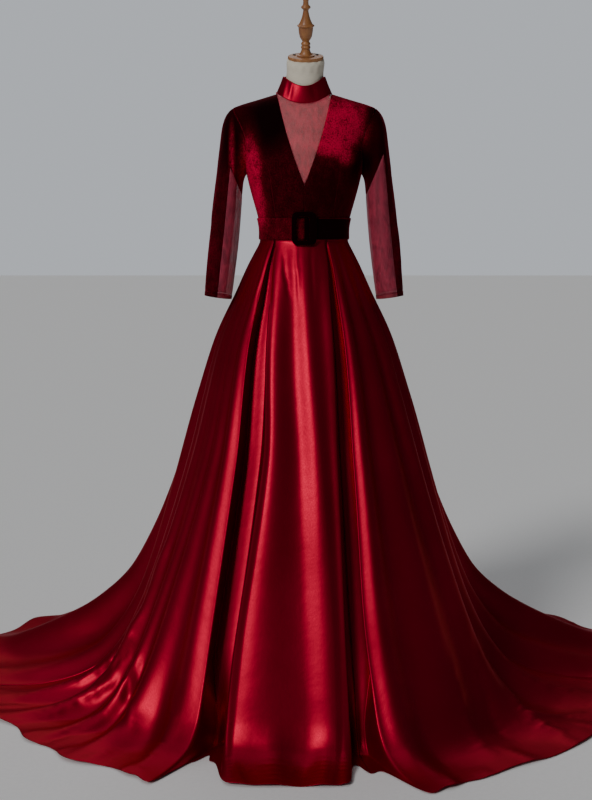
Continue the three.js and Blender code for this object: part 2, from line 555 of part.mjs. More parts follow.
// Folds, from the left of the centre back round to its right.
// at holds the fold's angle and off how far it stands out (+) or in (-), in millimetres,
// at the waist, thigh, knee, low, break and hem rings; reach moves its hem out or in.
const FOLD_RINGS = ["belt", "thigh", "knee", "low", "break", "hem"].map(ringIndex);
const FOLDS = [
  { name: "seam_back", at: [-180, -180, -180, -180, -180, -180], off: [0, 3, 6, 6, 4, 3], reach: 0 },
  { name: "back5", at: [-168, -167, -165, -162, -160, -158], off: [0, -8, -15, -14, -10, 0], reach: -8 },
  { name: "back4", at: [-155, -153, -150, -147, -145, -143], off: [0, 10, 20, 22, 18, 6], reach: 10 },
  { name: "back3", at: [-144, -142, -138, -135, -133, -132], off: [0, -10, -18, -16, -12, 0], reach: -12 },
  { name: "back2", at: [-134, -131, -128, -125, -124, -123], off: [0, 11, 24, 26, 20, 7], reach: 16 },
  { name: "back1", at: [-124, -121, -119, -117, -116, -116], off: [0, -9, -20, -20, -14, 0], reach: -14 },
  { name: "train3", at: [-115, -112, -110, -109, -108, -108], off: [0, 11, 25, 28, 22, 9], reach: 20 },
  { name: "train2", at: [-106, -103, -101, -100, -100, -100], off: [0, -8, -18, -18, -14, 0], reach: -14 },
  { name: "train1", at: [-98, -95, -93, -92, -92, -92.5], off: [0, 8, 18, 20, 16, 7], reach: 8 },
  { name: "seam_left", at: [-90, -88, -84, -85, -86, -87.5], off: [0, -5, -9, -10, -9, 0], reach: -8 },
  { name: "side5", at: [-83, -80, -73, -74.5, -78, -81.5], off: [0, 1, 3, 10, 14, 7], reach: 8 },
  { name: "side4", at: [-79, -75, -69, -70, -73, -76], off: [0, 0, -1, -5, -9, 0], reach: -8 },
  { name: "side3", at: [-75, -70, -64, -65.5, -68, -71], off: [0, 2, 5, 14, 19, 9], reach: 14 },
  { name: "side2", at: [-71, -65, -59, -61, -62.5, -65], off: [0, 0, -2, -9, -14, 0], reach: -14 },
  { name: "side1", at: [-67, -61, -54.5, -57, -58, -59], off: [0, 0, 0, 3, 7, 5], reach: 4 },
  { name: "crease", at: [-63, -57, -50.5, -53, -54, -53], off: [0, -1, -4, -13, -22, 0], reach: -14 },
  { name: "lap3", at: [-59, -55, -47.5, -48, -48, -46.5], off: [0, 0, 2, 8, 14, 7], reach: 8 },
  { name: "lap2", at: [-56, -50, -42.5, -40.5, -40, -38.5], off: [0, -3, -8, -10, -9, 0], reach: -16 },
  { name: "lap1", at: [-53.5, -44.5, -37, -33.5, -31.8, -32.5], off: [0, 9, 14, 15, 13, 6], reach: 6 },
  { name: "flapL", at: [-50.5, -39, -31, -28, -26.8, -28.2], off: [0, 7, 8, 8, 8, 5], reach: 30 },
  { name: "pleatL3", at: [-53, -42, -34.2, -31, -25.4, -26],
    off: [-5, -32, -46, -52, -48, 0], reach: -112 },
  { name: "seam_pleat_left", at: [-48.5, -31, -24.5, -24, -24, -24.4],
    off: [-9.5, -42, -58, -66, -60, 0], reach: -160 },
  { name: "pleatL1", at: [-44, -21.5, -14.5, -16.5, -22.2, -22.4],
    off: [-5, -32, -46, -52, -48, 0], reach: -125 },
  { name: "panelL", at: [-47, -26.5, -18.8, -20.6, -19.6, -14.2], off: [0, 6, 6, 4, 3, 5], reach: 0 },
  { name: "ridgeL", at: [-38, -22, -15, -17.3, -17, -11], off: [0, 9, 13, 13, 10, 7], reach: 2 },
  { name: "dipC", at: [-18, -8, -3, -1, 0, -1], off: [0, -4, -6, -6, -5, 0], reach: -2 },
  { name: "ridgeC", at: [-2, 4, 7, 8, 7.4, 4.6], off: [0, 6, 8, 8, 7, 5], reach: 0 },
  { name: "dipR", at: [18, 12, 11.2, 10.2, 9.4, 6.4], off: [0, 2, 3, 3, 3, 2], reach: -2 },
  { name: "panelR", at: [34, 20, 14.8, 11.8, 10.9, 7.9], off: [0, 6, 6, 4, 3, 5], reach: -4 },
  { name: "pleatR1", at: [31, 15.5, 10.8, 8.2, 12.3, 11.9], off: [-5, -32, -46, -52, -48, 0], reach: -118 },
  { name: "seam_pleat_right", at: [36, 24, 18.5, 15, 14.4, 14],
    off: [-9.5, -42, -58, -66, -60, 0], reach: -66 },
  { name: "pleatR3", at: [41, 32, 26, 21.5, 16.5, 16.2], off: [-5, -32, -46, -52, -48, 0], reach: -76 },
  { name: "flapR", at: [38, 28, 22, 18, 18.2, 21.6], off: [0, 7, 8, 6, 6, 5], reach: 62 },
  { name: "edgeR", at: [42, 33, 27, 23, 23.2, 25], off: [0, 9, 12, 12, 10, 6], reach: 46 },
  { name: "sweep1", at: [49, 40, 34.5, 31, 30.6, 30.2], off: [0, -3, -8, -8, -6, 0], reach: 24 },
  { name: "sweep2", at: [56, 49, 45, 43, 42, 42], off: [0, 5, 8, 8, 7, 5], reach: 0 },
  { name: "sweep3", at: [63, 57, 54, 52, 51, 50.5], off: [0, -4, -8, -8, -6, 0], reach: 8 },
  { name: "sweep4", at: [70, 66, 63, 62, 61.5, 61], off: [0, 8, 13, 14, 12, 6], reach: 12 },
  { name: "sweep5", at: [77, 74, 72, 71, 71, 71], off: [0, -7, -13, -13, -10, 0], reach: -4 },
  { name: "sweep6", at: [84, 81.5, 80, 80, 80, 80.5], off: [0, 7, 14, 16, 13, 6], reach: 6 },
  { name: "seam_right", at: [91, 89.5, 88, 88.5, 89.5, 91], off: [0, -4, -9, -10, -8, 0], reach: -8 },
  { name: "train4", at: [99, 97, 96, 96.5, 97, 98], off: [0, 8, 18, 18, 15, 7], reach: 8 },
  { name: "train5", at: [107, 105, 103.5, 103, 103.5, 104.5], off: [0, -8, -17, -18, -13, 0], reach: -12 },
  { name: "train6", at: [115, 113, 111, 110.5, 110.5, 111], off: [0, 11, 24, 27, 21, 9], reach: 18 },
  { name: "back6", at: [124, 122, 120, 118.5, 118, 118], off: [0, -9, -19, -20, -14, 0], reach: -14 },
  { name: "back7", at: [134, 131, 128.5, 127, 126, 126], off: [0, 11, 22, 24, 19, 7], reach: 14 },
  { name: "back8", at: [144, 142, 139, 137, 136, 135], off: [0, -9, -17, -16, -12, 0], reach: -10 },
  { name: "back9", at: [156, 154, 151, 149, 147, 146], off: [0, 10, 19, 20, 17, 6], reach: 10 },
  { name: "back10", at: [168, 167, 165, 163, 161, 160], off: [0, -7, -14, -13, -9, 0], reach: -8 },
  { name: "seam_back_again", at: [180, 180, 180, 180, 180, 180], off: [0, 3, 6, 6, 4, 3], reach: 0 },
];
const foldAngle = FOLDS.map((fold) => monotone(FOLD_RINGS, fold.at));
const foldDepth = FOLDS.map((fold) => monotone(FOLD_RINGS, fold.off));

// Columns: every fold line, and points between two lines on a rounded step
const PLEAT_WALLS = [
  "flapL", "pleatL3", "seam_pleat_left", "pleatL1",
  "panelR", "pleatR1", "seam_pleat_right", "pleatR3",
];
const columns = [];
FOLDS.slice(0, -1).forEach((fold, i) => {
  const wide = FOLDS[i + 1].at[3] - fold.at[3] > 9.5;
  const steps = PLEAT_WALLS.includes(fold.name) || !wide ? 2 : 3;
  for (let s = 0; s < steps; s += 1) columns.push({ fold: i, t: s / steps });
});
const columnOf = (name) => columns.findIndex((c) => FOLDS[c.fold].name === name && c.t === 0);

function skirtBase(angle, k) {
  const radius = monotone(ringNumbers, ringRadius.map((f) => f(angle)))(k);
  const height = monotone(ringNumbers, ringHeight.map((f) => f(angle)))(k);
  return vec(radius * Math.sin(angle * DEG), -radius * Math.cos(angle * DEG), height);
}

function skirtPoint({ fold, t }, k) {
  const mix = (1 - Math.cos(Math.PI * t)) / 2;
  const angle = lerp(foldAngle[fold](k), foldAngle[fold + 1](k), t);
  const depth = lerp(foldDepth[fold](k), foldDepth[fold + 1](k), mix);
  const reach = lerp(FOLDS[fold].reach, FOLDS[fold + 1].reach, mix);
  const along = skirtBase(angle, Math.min(HEM_RING, k + 0.1)).sub(skirtBase(angle, Math.max(0, k - 0.1)));
  const around = skirtBase(angle + 0.5, k).sub(skirtBase(angle - 0.5, k));
  const normal = along.cross(around).normalize();
  const point = skirtBase(angle, k).addScaledVector(normal, depth);
  const radial = vec(Math.sin(angle * DEG), -Math.cos(angle * DEG), 0);
  const low = ringIndex("low");
  point.addScaledVector(radial, reach * smooth((k - low) / (HEM_RING - low)));
  point.z = Math.max(point.z, CLOTH / 2);
  return point;
}

const skirtRows = [0, 1, 1.7, 2.7, 3.7, 5, 6, 7, 8, 9, 10, 10.8, 11.6, 12.4, 13.6, HEM_RING];
const skirtGrid = skirtRows.map((k) => columns.map((c) => skirtPoint(c, k)));
const skirtNormals = gridNormals(skirtGrid, true, -1);
// Where the cloth and all that is round it lie on the floor the wall is level, so its underside is flat.
const onFloor = (i, j) => skirtGrid[i][(j + columns.length) % columns.length].z <= CLOTH / 2 + 0.01;
skirtGrid.forEach((row, i) =>
  row.forEach((_, j) => {
    const near = [i - 1, i, i + 1].filter((r) => r >= 0 && r < skirtGrid.length);
    const flat = near.every((r) => [j - 1, j, j + 1].every((c) => onFloor(r, c)));
    if (flat || (i === skirtGrid.length - 1 && onFloor(i, j))) skirtNormals[i][j] = vec(0, 0, 1);
  })
);

function skirtPanel(name, from, to) {
  const count = (columnOf(to) - columnOf(from) + columns.length) % columns.length;
  const pick = (row) =>
    Array.from({ length: count + 1 }, (_, j) => row[(columnOf(from) + j) % columns.length].clone());
  const points = skirtGrid.map(pick);
  const normals = skirtNormals.map(pick);
  for (const row of points) {
    const nudge = (edge, next) => row[edge].add(row[next].clone().sub(row[edge]).setLength(SEAM / 2));
    nudge(0, 1);
    nudge(count, count - 1);
  }
  addMesh(name, wall({ points, normals }), "satin");
}
skirtPanel("skirt_front", "seam_pleat_left", "seam_pleat_right");
skirtPanel("skirt_side_L", "seam_left", "seam_pleat_left");
skirtPanel("skirt_side_R", "seam_pleat_right", "seam_right");
skirtPanel("skirt_back_L", "seam_back", "seam_left");
skirtPanel("skirt_back_R", "seam_right", "seam_back");

// Dress form: one smooth body from the hip to the neck, just inside the cloth
const NECK_TILT = Math.tan(18 * DEG);
const FORM = { foot: 1050, neckFoot: 1622, neckTop: 1704, lean: 4 };
const FORM_BODY = [
  { z: FORM.foot, half: 130, front: 94, back: 102 },
  { z: 1110, half: 126, front: 92, back: 100 },
  { z: 1165, half: 110, front: 80, back: 88 },
  { z: 1225, half: 94, front: 70, back: 74 },
  { z: 1255, half: 97, front: 73, back: 75 },
  { z: 1290, half: 111, front: 86, back: 85 },
];
const FORM_NECK = [
  { z: FORM.neckFoot, half: 60, front: 53.5, back: 46 },
  { z: 1634, half: 54, front: 51, back: 44.5 },
  { z: 1652, half: 50, front: 49, back: 44 },
  { z: 1678, half: 48.5, front: 47, back: 43 },
  { z: FORM.neckTop, half: 48, front: 46, back: 43 },
];
{
  const cols = 28;
  const ring = ({ z, half, front, back }) =>
    Array.from({ length: cols }, (_, j) => {
      const a = (2 * Math.PI * j) / cols - Math.PI;
      const c = Math.cos(a);
      const y = -(c > 0 ? front : back) * c;
      const tilt = NECK_TILT * smooth((z - 1636) / 50);
      const lean = FORM.lean * smooth((z - FORM.neckFoot) / 80);
      return vec(half * Math.sin(a) + lean, y, z + tilt * y);
    });
  const chestZ = [1310, 1348, 1389, 1429, 1468, 1513, ...armholeZ.slice(-4), ...upperZ];
  const chest = chestZ.map((z) => {
    const fit = lerp(6, FORM_CLEARANCE, smooth((z - 1400) / 165));
    return Array.from({ length: cols }, (_, j) => torsoPoint((360 * j) / cols - 180, z, -fit));
  });
  const rings = [...FORM_BODY.map(ring), ...chest, ...FORM_NECK.map(ring)];
  const positions = rings.flat().flatMap((p) => [p.x, p.y, p.z]);
  const triangles = [];
  for (let i = 0; i < rings.length - 1; i += 1) {
    for (let j = 0; j < cols; j += 1) {
      const [a, b] = [i * cols + j, i * cols + ((j + 1) % cols)];
      triangles.push(a, b, b + cols, a, b + cols, a + cols);
    }
  }
  const last = (rings.length - 1) * cols;
  for (let j = 1; j < cols - 1; j += 1) {
    triangles.push(0, j + 1, j);
    triangles.push(last, last + j, last + j + 1);
  }
  const geometry = new THREE.BufferGeometry();
  geometry.setAttribute("position", new THREE.Float32BufferAttribute(positions, 3));
  geometry.setIndex(triangles);
  addMesh("form_torso", geometry, "linen");
}

// Turned pieces: profile rows of radius and height, closed on the axis
function turned(name, profile, material, sides = 24) {
  const outline = profile.map(([r, z]) => new THREE.Vector2(r, z));
  const geometry = new THREE.LatheGeometry(outline, sides);
  geometry.rotateX(Math.PI / 2);
  return addMesh(name, geometry, material);
}

const CAP = { radius: 47, thickness: 8 };
const CAP_PROFILE = [
  [0, 0], [CAP.radius - 1.5, 0], [CAP.radius, 1.5],
  [CAP.radius, 6.5], [CAP.radius - 1.5, CAP.thickness], [0, CAP.thickness],
];
const SCREW_PROFILE = [[0, 0], [4, 0], [3.4, 1.6], [2, 2.2], [0, 2.4]];
const capTilt = Math.atan(NECK_TILT);
const capFrame = new THREE.Group();
capFrame.position.set(FORM.lean, 0, FORM.neckTop + SEAM);
capFrame.rotation.x = capTilt;
group.add(capFrame);
capFrame.add(turned("neck_cap", CAP_PROFILE, "wood"));
for (const [label, x] of [["L", -30], ["R", 30]]) {
  const screw = turned(`cap_screw_${label}`, SCREW_PROFILE, "metal", 10);
  screw.position.set(x, 12, CAP.thickness + SEAM);
  capFrame.add(screw);
}

// Turned finial: foot, two stem rings, urn with a rim, taper, collar and top knob
const FINIAL = [
  [0, 0], [23.5, 0], [23.5, 2.5], [18, 3.5], [15, 7], [12, 13], [11, 18], [12.7, 22], [10.8, 27],
  [12.5, 31.5], [8.7, 37.5], [15.3, 48], [18.2, 61], [19.3, 74], [22.7, 77], [21.5, 79],
  [17.3, 82.5], [11.5, 95.5], [8.2, 108], [7.2, 117], [12.3, 122.5], [11, 127], [7.8, 130],
  [6.9, 138], [8.1, 145], [6.5, 148.6], [0, 149],
];
{
  const finial = turned("finial", FINIAL, "wood", 14);
  finial.position.set(0, 0, CAP.thickness + SEAM);
  capFrame.add(finial);
}

// Stand: bottom plate, pole and a plain round base, all under the skirt
const STAND = { baseRadius: 165, baseHeight: 14, poleRadius: 14, plateRadius: 60, plateHeight: 8 };
const plateFoot = FORM.foot - SEAM - STAND.plateHeight;
{
  const plate = turned(
    "form_plate",
    [[0, 0], [STAND.plateRadius, 0], [STAND.plateRadius, STAND.plateHeight], [0, STAND.plateHeight]],
    "wood"
  );
  plate.position.z = plateFoot;
  const poleLength = plateFoot - SEAM - STAND.baseHeight - SEAM;
  const pole = turned(
    "stand_pole",
    [[0, 0], [STAND.poleRadius, 0], [STAND.poleRadius, poleLength], [0, poleLength]],
    "metal",
    16
  );
  pole.position.z = STAND.baseHeight + SEAM;
  const { baseRadius, baseHeight } = STAND;
  const edge = [[baseRadius, 0], [baseRadius, 9], [baseRadius - 6, baseHeight]];
  const baseProfile = [[0, 0], ...edge, [0, baseHeight]];
  turned("stand_base", baseProfile, "wood", 32);
}

export default group;
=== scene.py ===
"""A-line prom dress with a sweep train, on a limbless dress form and its stand.

Metres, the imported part's own frame: +Z up, the front faces -Y, the stand's base is centred on the
origin. L and R in a name mean the -X and the +X side, as seen from the front.
The tables are in millimetres, as a maker would note them, and are scaled where points are made.
"""

import math

import bmesh
import bpy
import numpy as np
from mathutils import Matrix, Vector
from mathutils.kdtree import KDTree


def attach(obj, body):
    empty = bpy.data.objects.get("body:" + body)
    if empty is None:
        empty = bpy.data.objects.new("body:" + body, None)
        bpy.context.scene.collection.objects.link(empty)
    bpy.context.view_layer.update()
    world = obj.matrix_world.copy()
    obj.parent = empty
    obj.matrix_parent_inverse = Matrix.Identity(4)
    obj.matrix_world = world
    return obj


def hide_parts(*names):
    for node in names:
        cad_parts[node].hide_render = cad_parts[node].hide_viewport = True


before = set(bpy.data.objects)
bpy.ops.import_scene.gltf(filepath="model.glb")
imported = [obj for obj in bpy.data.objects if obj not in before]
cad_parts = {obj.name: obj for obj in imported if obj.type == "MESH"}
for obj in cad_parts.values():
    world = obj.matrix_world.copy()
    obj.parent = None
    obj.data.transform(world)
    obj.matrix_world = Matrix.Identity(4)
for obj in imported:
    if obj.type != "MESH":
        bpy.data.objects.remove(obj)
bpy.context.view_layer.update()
bpy.ops.object.select_all(action="DESELECT")

# Camera: 3.5 m in front of the form and 21 mm to the left of its axis, at about belt height,
# tilted 8 degrees down.
camera_data = bpy.data.cameras.new("camera")
camera_data.sensor_fit = "VERTICAL"
camera_data.sensor_height = 24
camera_data.lens = 38.85
camera = bpy.data.objects.new("camera", camera_data)
camera.location = (-0.02145, -3.5, 1.29)
camera.rotation_euler = (math.radians(82), 0, 0)
bpy.context.scene.collection.objects.link(camera)
bpy.context.scene.camera = camera


# Studio: one pale painted floor, a large soft light from the front left, two weak fills from above
# and behind, and a pale surround that the camera sees brighter than the cloth does.
def plain_material(name, color, roughness):
    """A material with one Principled shader, and its node tree to add to."""
    material = bpy.data.materials.new(name)
    material.use_nodes = True
    shader = material.node_tree.nodes["Principled BSDF"]
    shader.inputs["Base Color"].default_value = (*color, 1)
    shader.inputs["Roughness"].default_value = roughness
    return material, shader


def node(material, kind, **settings):
    """A new node of a material.

    Settings are its sockets, by name with _ for a space, or its own values."""
    made = material.node_tree.nodes.new(kind)
    for key, value in settings.items():
        socket = made.inputs.get(key.replace("_", " "))
        if socket is not None:
            socket.default_value = value
        else:
            setattr(made, key, value)
    return made


def join(material, start, socket, end, into):
    material.node_tree.links.new(start.outputs[socket], end.inputs[into])


def noise_on(material, scale, detail=2.0, stretch=(1, 1, 1), roughness=0.5):
    """A noise on the object's own coordinates, stretched along its axes."""
    place = node(material, "ShaderNodeTexCoord")
    mapping = node(material, "ShaderNodeMapping", Scale=stretch)
    noise = node(material, "ShaderNodeTexNoise", Scale=scale, Detail=detail, Roughness=roughness)
    join(material, place, "Object", mapping, "Vector")
    join(material, mapping, "Vector", noise, "Vector")
    return noise


def ramp_on(material, source, socket, stops):
    """A colour ramp over a value. Stops are pairs of position and colour."""
    ramp = node(material, "ShaderNodeValToRGB")
    while len(ramp.color_ramp.elements) < len(stops):
        ramp.color_ramp.elements.new(0.5)
    for element, (position, color) in zip(ramp.color_ramp.elements, stops):
        element.position = position
        element.color = (*color, 1)
    join(material, source, socket, ramp, "Fac")
    return ramp


def bump_on(material, shader, source, socket, distance, strength=1.0, under=None):
    """A bump of a real height, on top of another where one is given."""
    bump = node(material, "ShaderNodeBump", Distance=distance, Strength=strength)
    join(material, source, socket, bump, "Height")
    if under is not None:
        join(material, under, "Normal", bump, "Normal")
    join(material, bump, "Normal", shader, "Normal")
    return bump


bpy.ops.mesh.primitive_plane_add(size=40, location=(0, 6, -0.0005))
floor = bpy.context.object
floor.name = "studio_floor"
floor_paint, floor_shader = plain_material("floor_paint", (0.94, 0.95, 0.96), 0.9)
floor_grain = noise_on(floor_paint, 90, 4)
floor_tone = ramp_on(
    floor_paint, floor_grain, "Fac", [(0.3, (0.92, 0.93, 0.94)), (0.7, (0.96, 0.97, 0.98))]
)
join(floor_paint, floor_tone, "Color", floor_shader, "Base Color")
bump_on(floor_paint, floor_shader, floor_grain, "Fac", 0.0004, 0.4)
floor.data.materials.append(floor_paint)

world = bpy.data.worlds.new("surround")
bpy.context.scene.world = world
world.use_nodes = True
surround = world.node_tree.nodes["Background"]
surround.inputs["Color"].default_value = (0.86, 0.89, 0.95, 1)
surround.inputs["Strength"].default_value = 0.06
backdrop = world.node_tree.nodes.new("ShaderNodeBackground")
backdrop.inputs["Color"].default_value = (0.82, 0.86, 0.92, 1)
backdrop.inputs["Strength"].default_value = 0.6
seen = world.node_tree.nodes.new("ShaderNodeLightPath")
chosen = world.node_tree.nodes.new("ShaderNodeMixShader")
for start, end, into in (
    (seen.outputs["Is Camera Ray"], chosen, 0),
    (surround.outputs["Background"], chosen, 1),
    (backdrop.outputs["Background"], chosen, 2),
    (chosen.outputs["Shader"], world.node_tree.nodes["World Output"], "Surface"),
):
    world.node_tree.links.new(start, end.inputs[into])


def soft_light(name, towards, strength, spread, color=(1, 1, 1)):
    """An even light from far away, soft by its spread in degrees. Towards points at the light."""
    bpy.ops.object.light_add(type="SUN", location=Vector(towards) * 3)
    lamp = bpy.context.object
    lamp.name = name
    lamp.data.energy = strength
    lamp.data.angle = math.radians(spread)
    lamp.data.color = color
    lamp.rotation_euler = Vector(towards).to_track_quat("Z", "Y").to_euler()


soft_light("key_light", (-0.58, -0.8, 0.62), 1.32, 16, (1.0, 0.98, 0.96))
soft_light("top_fill", (-0.3, 0.0, 1), 0.36, 50)
soft_light("back_fill", (-0.1, 0.8, 0.75), 0.34, 40)
bpy.ops.object.select_all(action="DESELECT")


# Skirt: five satin gores, pleated into the waist seam at two deep pleats, flared to a train that
# lies on the floor. Duchess satin, cut on the straight, with a narrow turned hem.
MM = 0.001
# Each ring has a radius and a height at 0, 50, 88, 115 and 180 degrees from the front.
RING_ANGLES = [0, 50, 88, 115, 180]
RINGS = {
    "waist": ([91, 101, 117, 111, 91], [1239.7] * 5),
    "belt": ([92.5, 102.5, 118.5, 112.5, 92.5], [1230] * 5),
    "yoke": ([122, 134, 149, 146, 128], [1165] * 5),
    "hip": ([156, 168, 180, 180, 164], [1090] * 5),
    "thigh": ([209, 222, 233, 236, 210], [970, 970, 970, 965, 960]),
    "leg": ([267, 274, 277, 286, 258], [825, 820, 815, 805, 790]),
    "knee": ([322, 325, 315, 334, 303], [680, 670, 665, 650, 630]),
    "calf": ([378, 377, 353, 386, 342], [540, 520, 525, 505, 480]),
    "shin": ([430, 430, 392, 446, 382], [400, 380, 390, 378, 350]),
    "low": ([478, 482, 437, 520, 420], [275, 250, 265, 262, 235]),
    "ankle": ([520, 532, 497, 606, 453], [165, 140, 158, 190, 135]),
    "break": ([552, 582, 576, 690, 480], [82, 60, 76, 138, 60]),
    "floor_in": ([581, 632, 662, 772, 506], [36, 20, 34, 94, 20]),
    "floor_mid": ([616, 690, 748, 860, 533], [14, 5, 12, 52, 6]),
    "floor_out": ([652, 742, 820, 948, 557], [5, 1, 3, 18, 1]),
    "hem": ([690, 790, 884, 1030, 580], [1] * 5),
}
RING_ORDER = list(RINGS)
HEM_RING = len(RINGS) - 1
# Folds: the angle, how far it stands out or in, and how far its hem is drawn out.
# The six values are taken at the belt, thigh, knee, low, break and hem rings.
FOLD_RINGS = [RING_ORDER.index(name) for name in ("belt", "thigh", "knee", "low", "break", "hem")]
FOLDS = {
    "seam_back": ([-180] * 6, [0, 3, 6, 6, 4, 3], 0),
    "back5": ([-168, -167, -165, -162, -160, -158], [0, -8, -15, -14, -10, 0], -8),
    "back4": ([-155, -153, -150, -147, -145, -143], [0, 10, 20, 22, 18, 6], 10),
    "back3": ([-144, -142, -138, -135, -133, -132], [0, -10, -18, -16, -12, 0], -12),
    "back2": ([-134, -131, -128, -125, -124, -123], [0, 11, 24, 26, 20, 7], 16),
    "back1": ([-124, -121, -119, -117, -116, -116], [0, -9, -20, -20, -14, 0], -14),
    "train3": ([-115, -112, -110, -109, -108, -108], [0, 11, 25, 28, 22, 9], 20),
    "train2": ([-106, -103, -101, -100, -100, -100], [0, -8, -18, -18, -14, 0], -14),
    "train1": ([-98, -95, -93, -92, -92, -92.5], [0, 8, 18, 20, 16, 7], 8),
    "seam_left": ([-90, -88, -84, -85, -86, -87.5], [0, -5, -9, -10, -9, 0], -8),
    "side5": ([-83, -80, -73, -74.5, -78, -81.5], [0, 1, 3, 10, 14, 7], 8),
    "side4": ([-79, -75, -69, -70, -73, -76], [0, 0, -1, -5, -9, 0], -8),
    "side3": ([-75, -70, -64, -65.5, -68, -71], [0, 2, 5, 14, 19, 9], 14),
    "side2": ([-71, -65, -59, -61, -62.5, -65], [0, 0, -2, -9, -14, 0], -14),
    "side1": ([-67, -61, -54.5, -57, -58, -59], [0, 0, 0, 3, 7, 5], 4),
    "crease": ([-63, -57, -50.5, -53, -54, -53], [0, -1, -4, -10, -20, 0], -14),
    "lap3": ([-59, -55, -47.5, -48, -48, -46.5], [0, 0, 1, 6, 14, 7], 8),
    "lap2": ([-56, -50, -42.5, -40.5, -40, -38.5], [0, 0, -3, -7, -9, 0], -16),
    "lap1": ([-53.5, -44.5, -37, -33.5, -31.8, -32.5], [0, 9, 14, 15, 13, 6], 6),
    "flap_left": ([-50.5, -39, -31, -28, -26.8, -28.2], [0, 7, 8, 8, 8, 5], 30),
    "pleat_left_out": ([-53, -42, -34.2, -31, -25.4, -26], [-5, -32, -46, -52, -48, 0], -112),
    "pleat_left": ([-48.5, -31, -24.5, -24, -24, -24.4], [-9.5, -42, -58, -66, -60, 0], -160),
    "pleat_left_in": (
        [-44, -21.5, -14.5, -16.5, -22.2, -22.4], [-5, -32, -46, -52, -48, 0], -125
    ),
    "panel_left": ([-47, -26.5, -18.8, -20.6, -19.6, -14.2], [0, 6, 6, 4, 3, 5], 0),
    "ridge_left": ([-38, -22, -15, -17.3, -17, -11], [0, 9, 13, 13, 10, 7], 2),
    "dip_middle": ([-18, -8, -3, -1, 0, -1], [0, -4, -6, -6, -5, 0], -2),
    "ridge_middle": ([-2, 4, 7, 8, 7.4, 4.6], [0, 6, 8, 8, 7, 5], 0),
    "dip_right": ([18, 12, 11.2, 10.2, 9.4, 6.4], [0, 2, 3, 3, 3, 2], -2),
    "panel_right": ([34, 20, 14.8, 11.8, 10.9, 7.9], [0, 6, 6, 4, 3, 5], -4),
    "pleat_right_in": ([31, 15.5, 10.8, 8.2, 12.3, 11.9], [-5, -32, -46, -52, -48, 0], -118),
    "pleat_right": ([36, 24, 18.5, 15, 14.4, 14], [-9.5, -30, -38, -42, -44, 0], -66),
    "pleat_right_out": ([41, 32, 26, 21.5, 16.5, 16.2], [-5, -22, -28, -30, -34, 0], -76),
    "flap_right": ([38, 28, 22, 18, 18.2, 21.6], [0, 4, 1, -3, -3, 2], 62),
    "edge_right": ([42, 33, 27, 23, 23.2, 25], [0, 11, 15, 16, 15, 8], 46),
    "sweep1": ([49, 40, 34.5, 31, 30.6, 30.2], [0, -3, -8, -10, -8, 0], 24),
    "sweep2": ([56, 49, 45, 43, 42, 42], [0, 5, 8, 8, 7, 5], 0),
    "sweep3": ([63, 57, 54, 52, 51, 50.5], [0, -4, -8, -8, -6, 0], 8),
    "sweep4": ([70, 66, 63, 62, 61.5, 61], [0, 8, 13, 14, 12, 6], 12),
    "sweep5": ([77, 74, 72, 71, 71, 71], [0, -7, -13, -13, -10, 0], -4),
    "sweep6": ([84, 81.5, 80, 80, 80, 80.5], [0, 7, 14, 16, 13, 6], 6),
    "seam_right": ([91, 89.5, 88, 88.5, 89.5, 91], [0, -4, -9, -10, -8, 0], -8),
    "train4": ([99, 97, 96, 96.5, 97, 98], [0, 8, 18, 18, 15, 7], 8),
    "train5": ([107, 105, 103.5, 103, 103.5, 104.5], [0, -8, -17, -18, -13, 0], -12),
    "train6": ([115, 113, 111, 110.5, 110.5, 111], [0, 11, 24, 27, 21, 9], 18),
    "back6": ([124, 122, 120, 118.5, 118, 118], [0, -9, -19, -20, -14, 0], -14),
    "back7": ([134, 131, 128.5, 127, 126, 126], [0, 11, 22, 24, 19, 7], 14),
    "back8": ([144, 142, 139, 137, 136, 135], [0, -9, -17, -16, -12, 0], -10),
    "back9": ([156, 154, 151, 149, 147, 146], [0, 10, 19, 20, 17, 6], 10),
    "back10": ([168, 167, 165, 163, 161, 160], [0, -7, -14, -13, -9, 0], -8),
    "seam_back_again": ([180] * 6, [0, 3, 6, 6, 4, 3], 0),
}
FOLD_ORDER = list(FOLDS)
PIECES_BETWEEN_FOLDS = 9
WAIST = {"half": 117, "depth": 91}
DEGREES = np.arange(0, 180.5, 0.5)


def monotone(xs, ys, x):
    """A cubic through a table, which keeps between its values.

    ys may have more axes after the first."""
    xs = np.asarray(xs, float)
    ys = np.asarray(ys, float)
    steps = np.diff(xs).reshape(-1, *[1] * (ys.ndim - 1))
    slopes = np.diff(ys, axis=0) / steps
    before, after = slopes[:-1], slopes[1:]
    same = before * after > 0
    total = np.where(same, before + after, 1)
    inner = np.where(same, 2 * before * after / total, 0)
    tangents = np.concatenate([slopes[:1], inner, slopes[-1:]])
    i = int(np.clip(np.searchsorted(xs, x, side="right") - 1, 0, len(xs) - 2))
    h = xs[i + 1] - xs[i]
    t = min(1.0, max(0.0, (x - xs[i]) / h))
    start = ys[i] * (1 + 2 * t) + tangents[i] * h * t
    end = ys[i + 1] * (3 - 2 * t) - tangents[i + 1] * h * (1 - t)
    return start * (1 - t) ** 2 + end * t * t


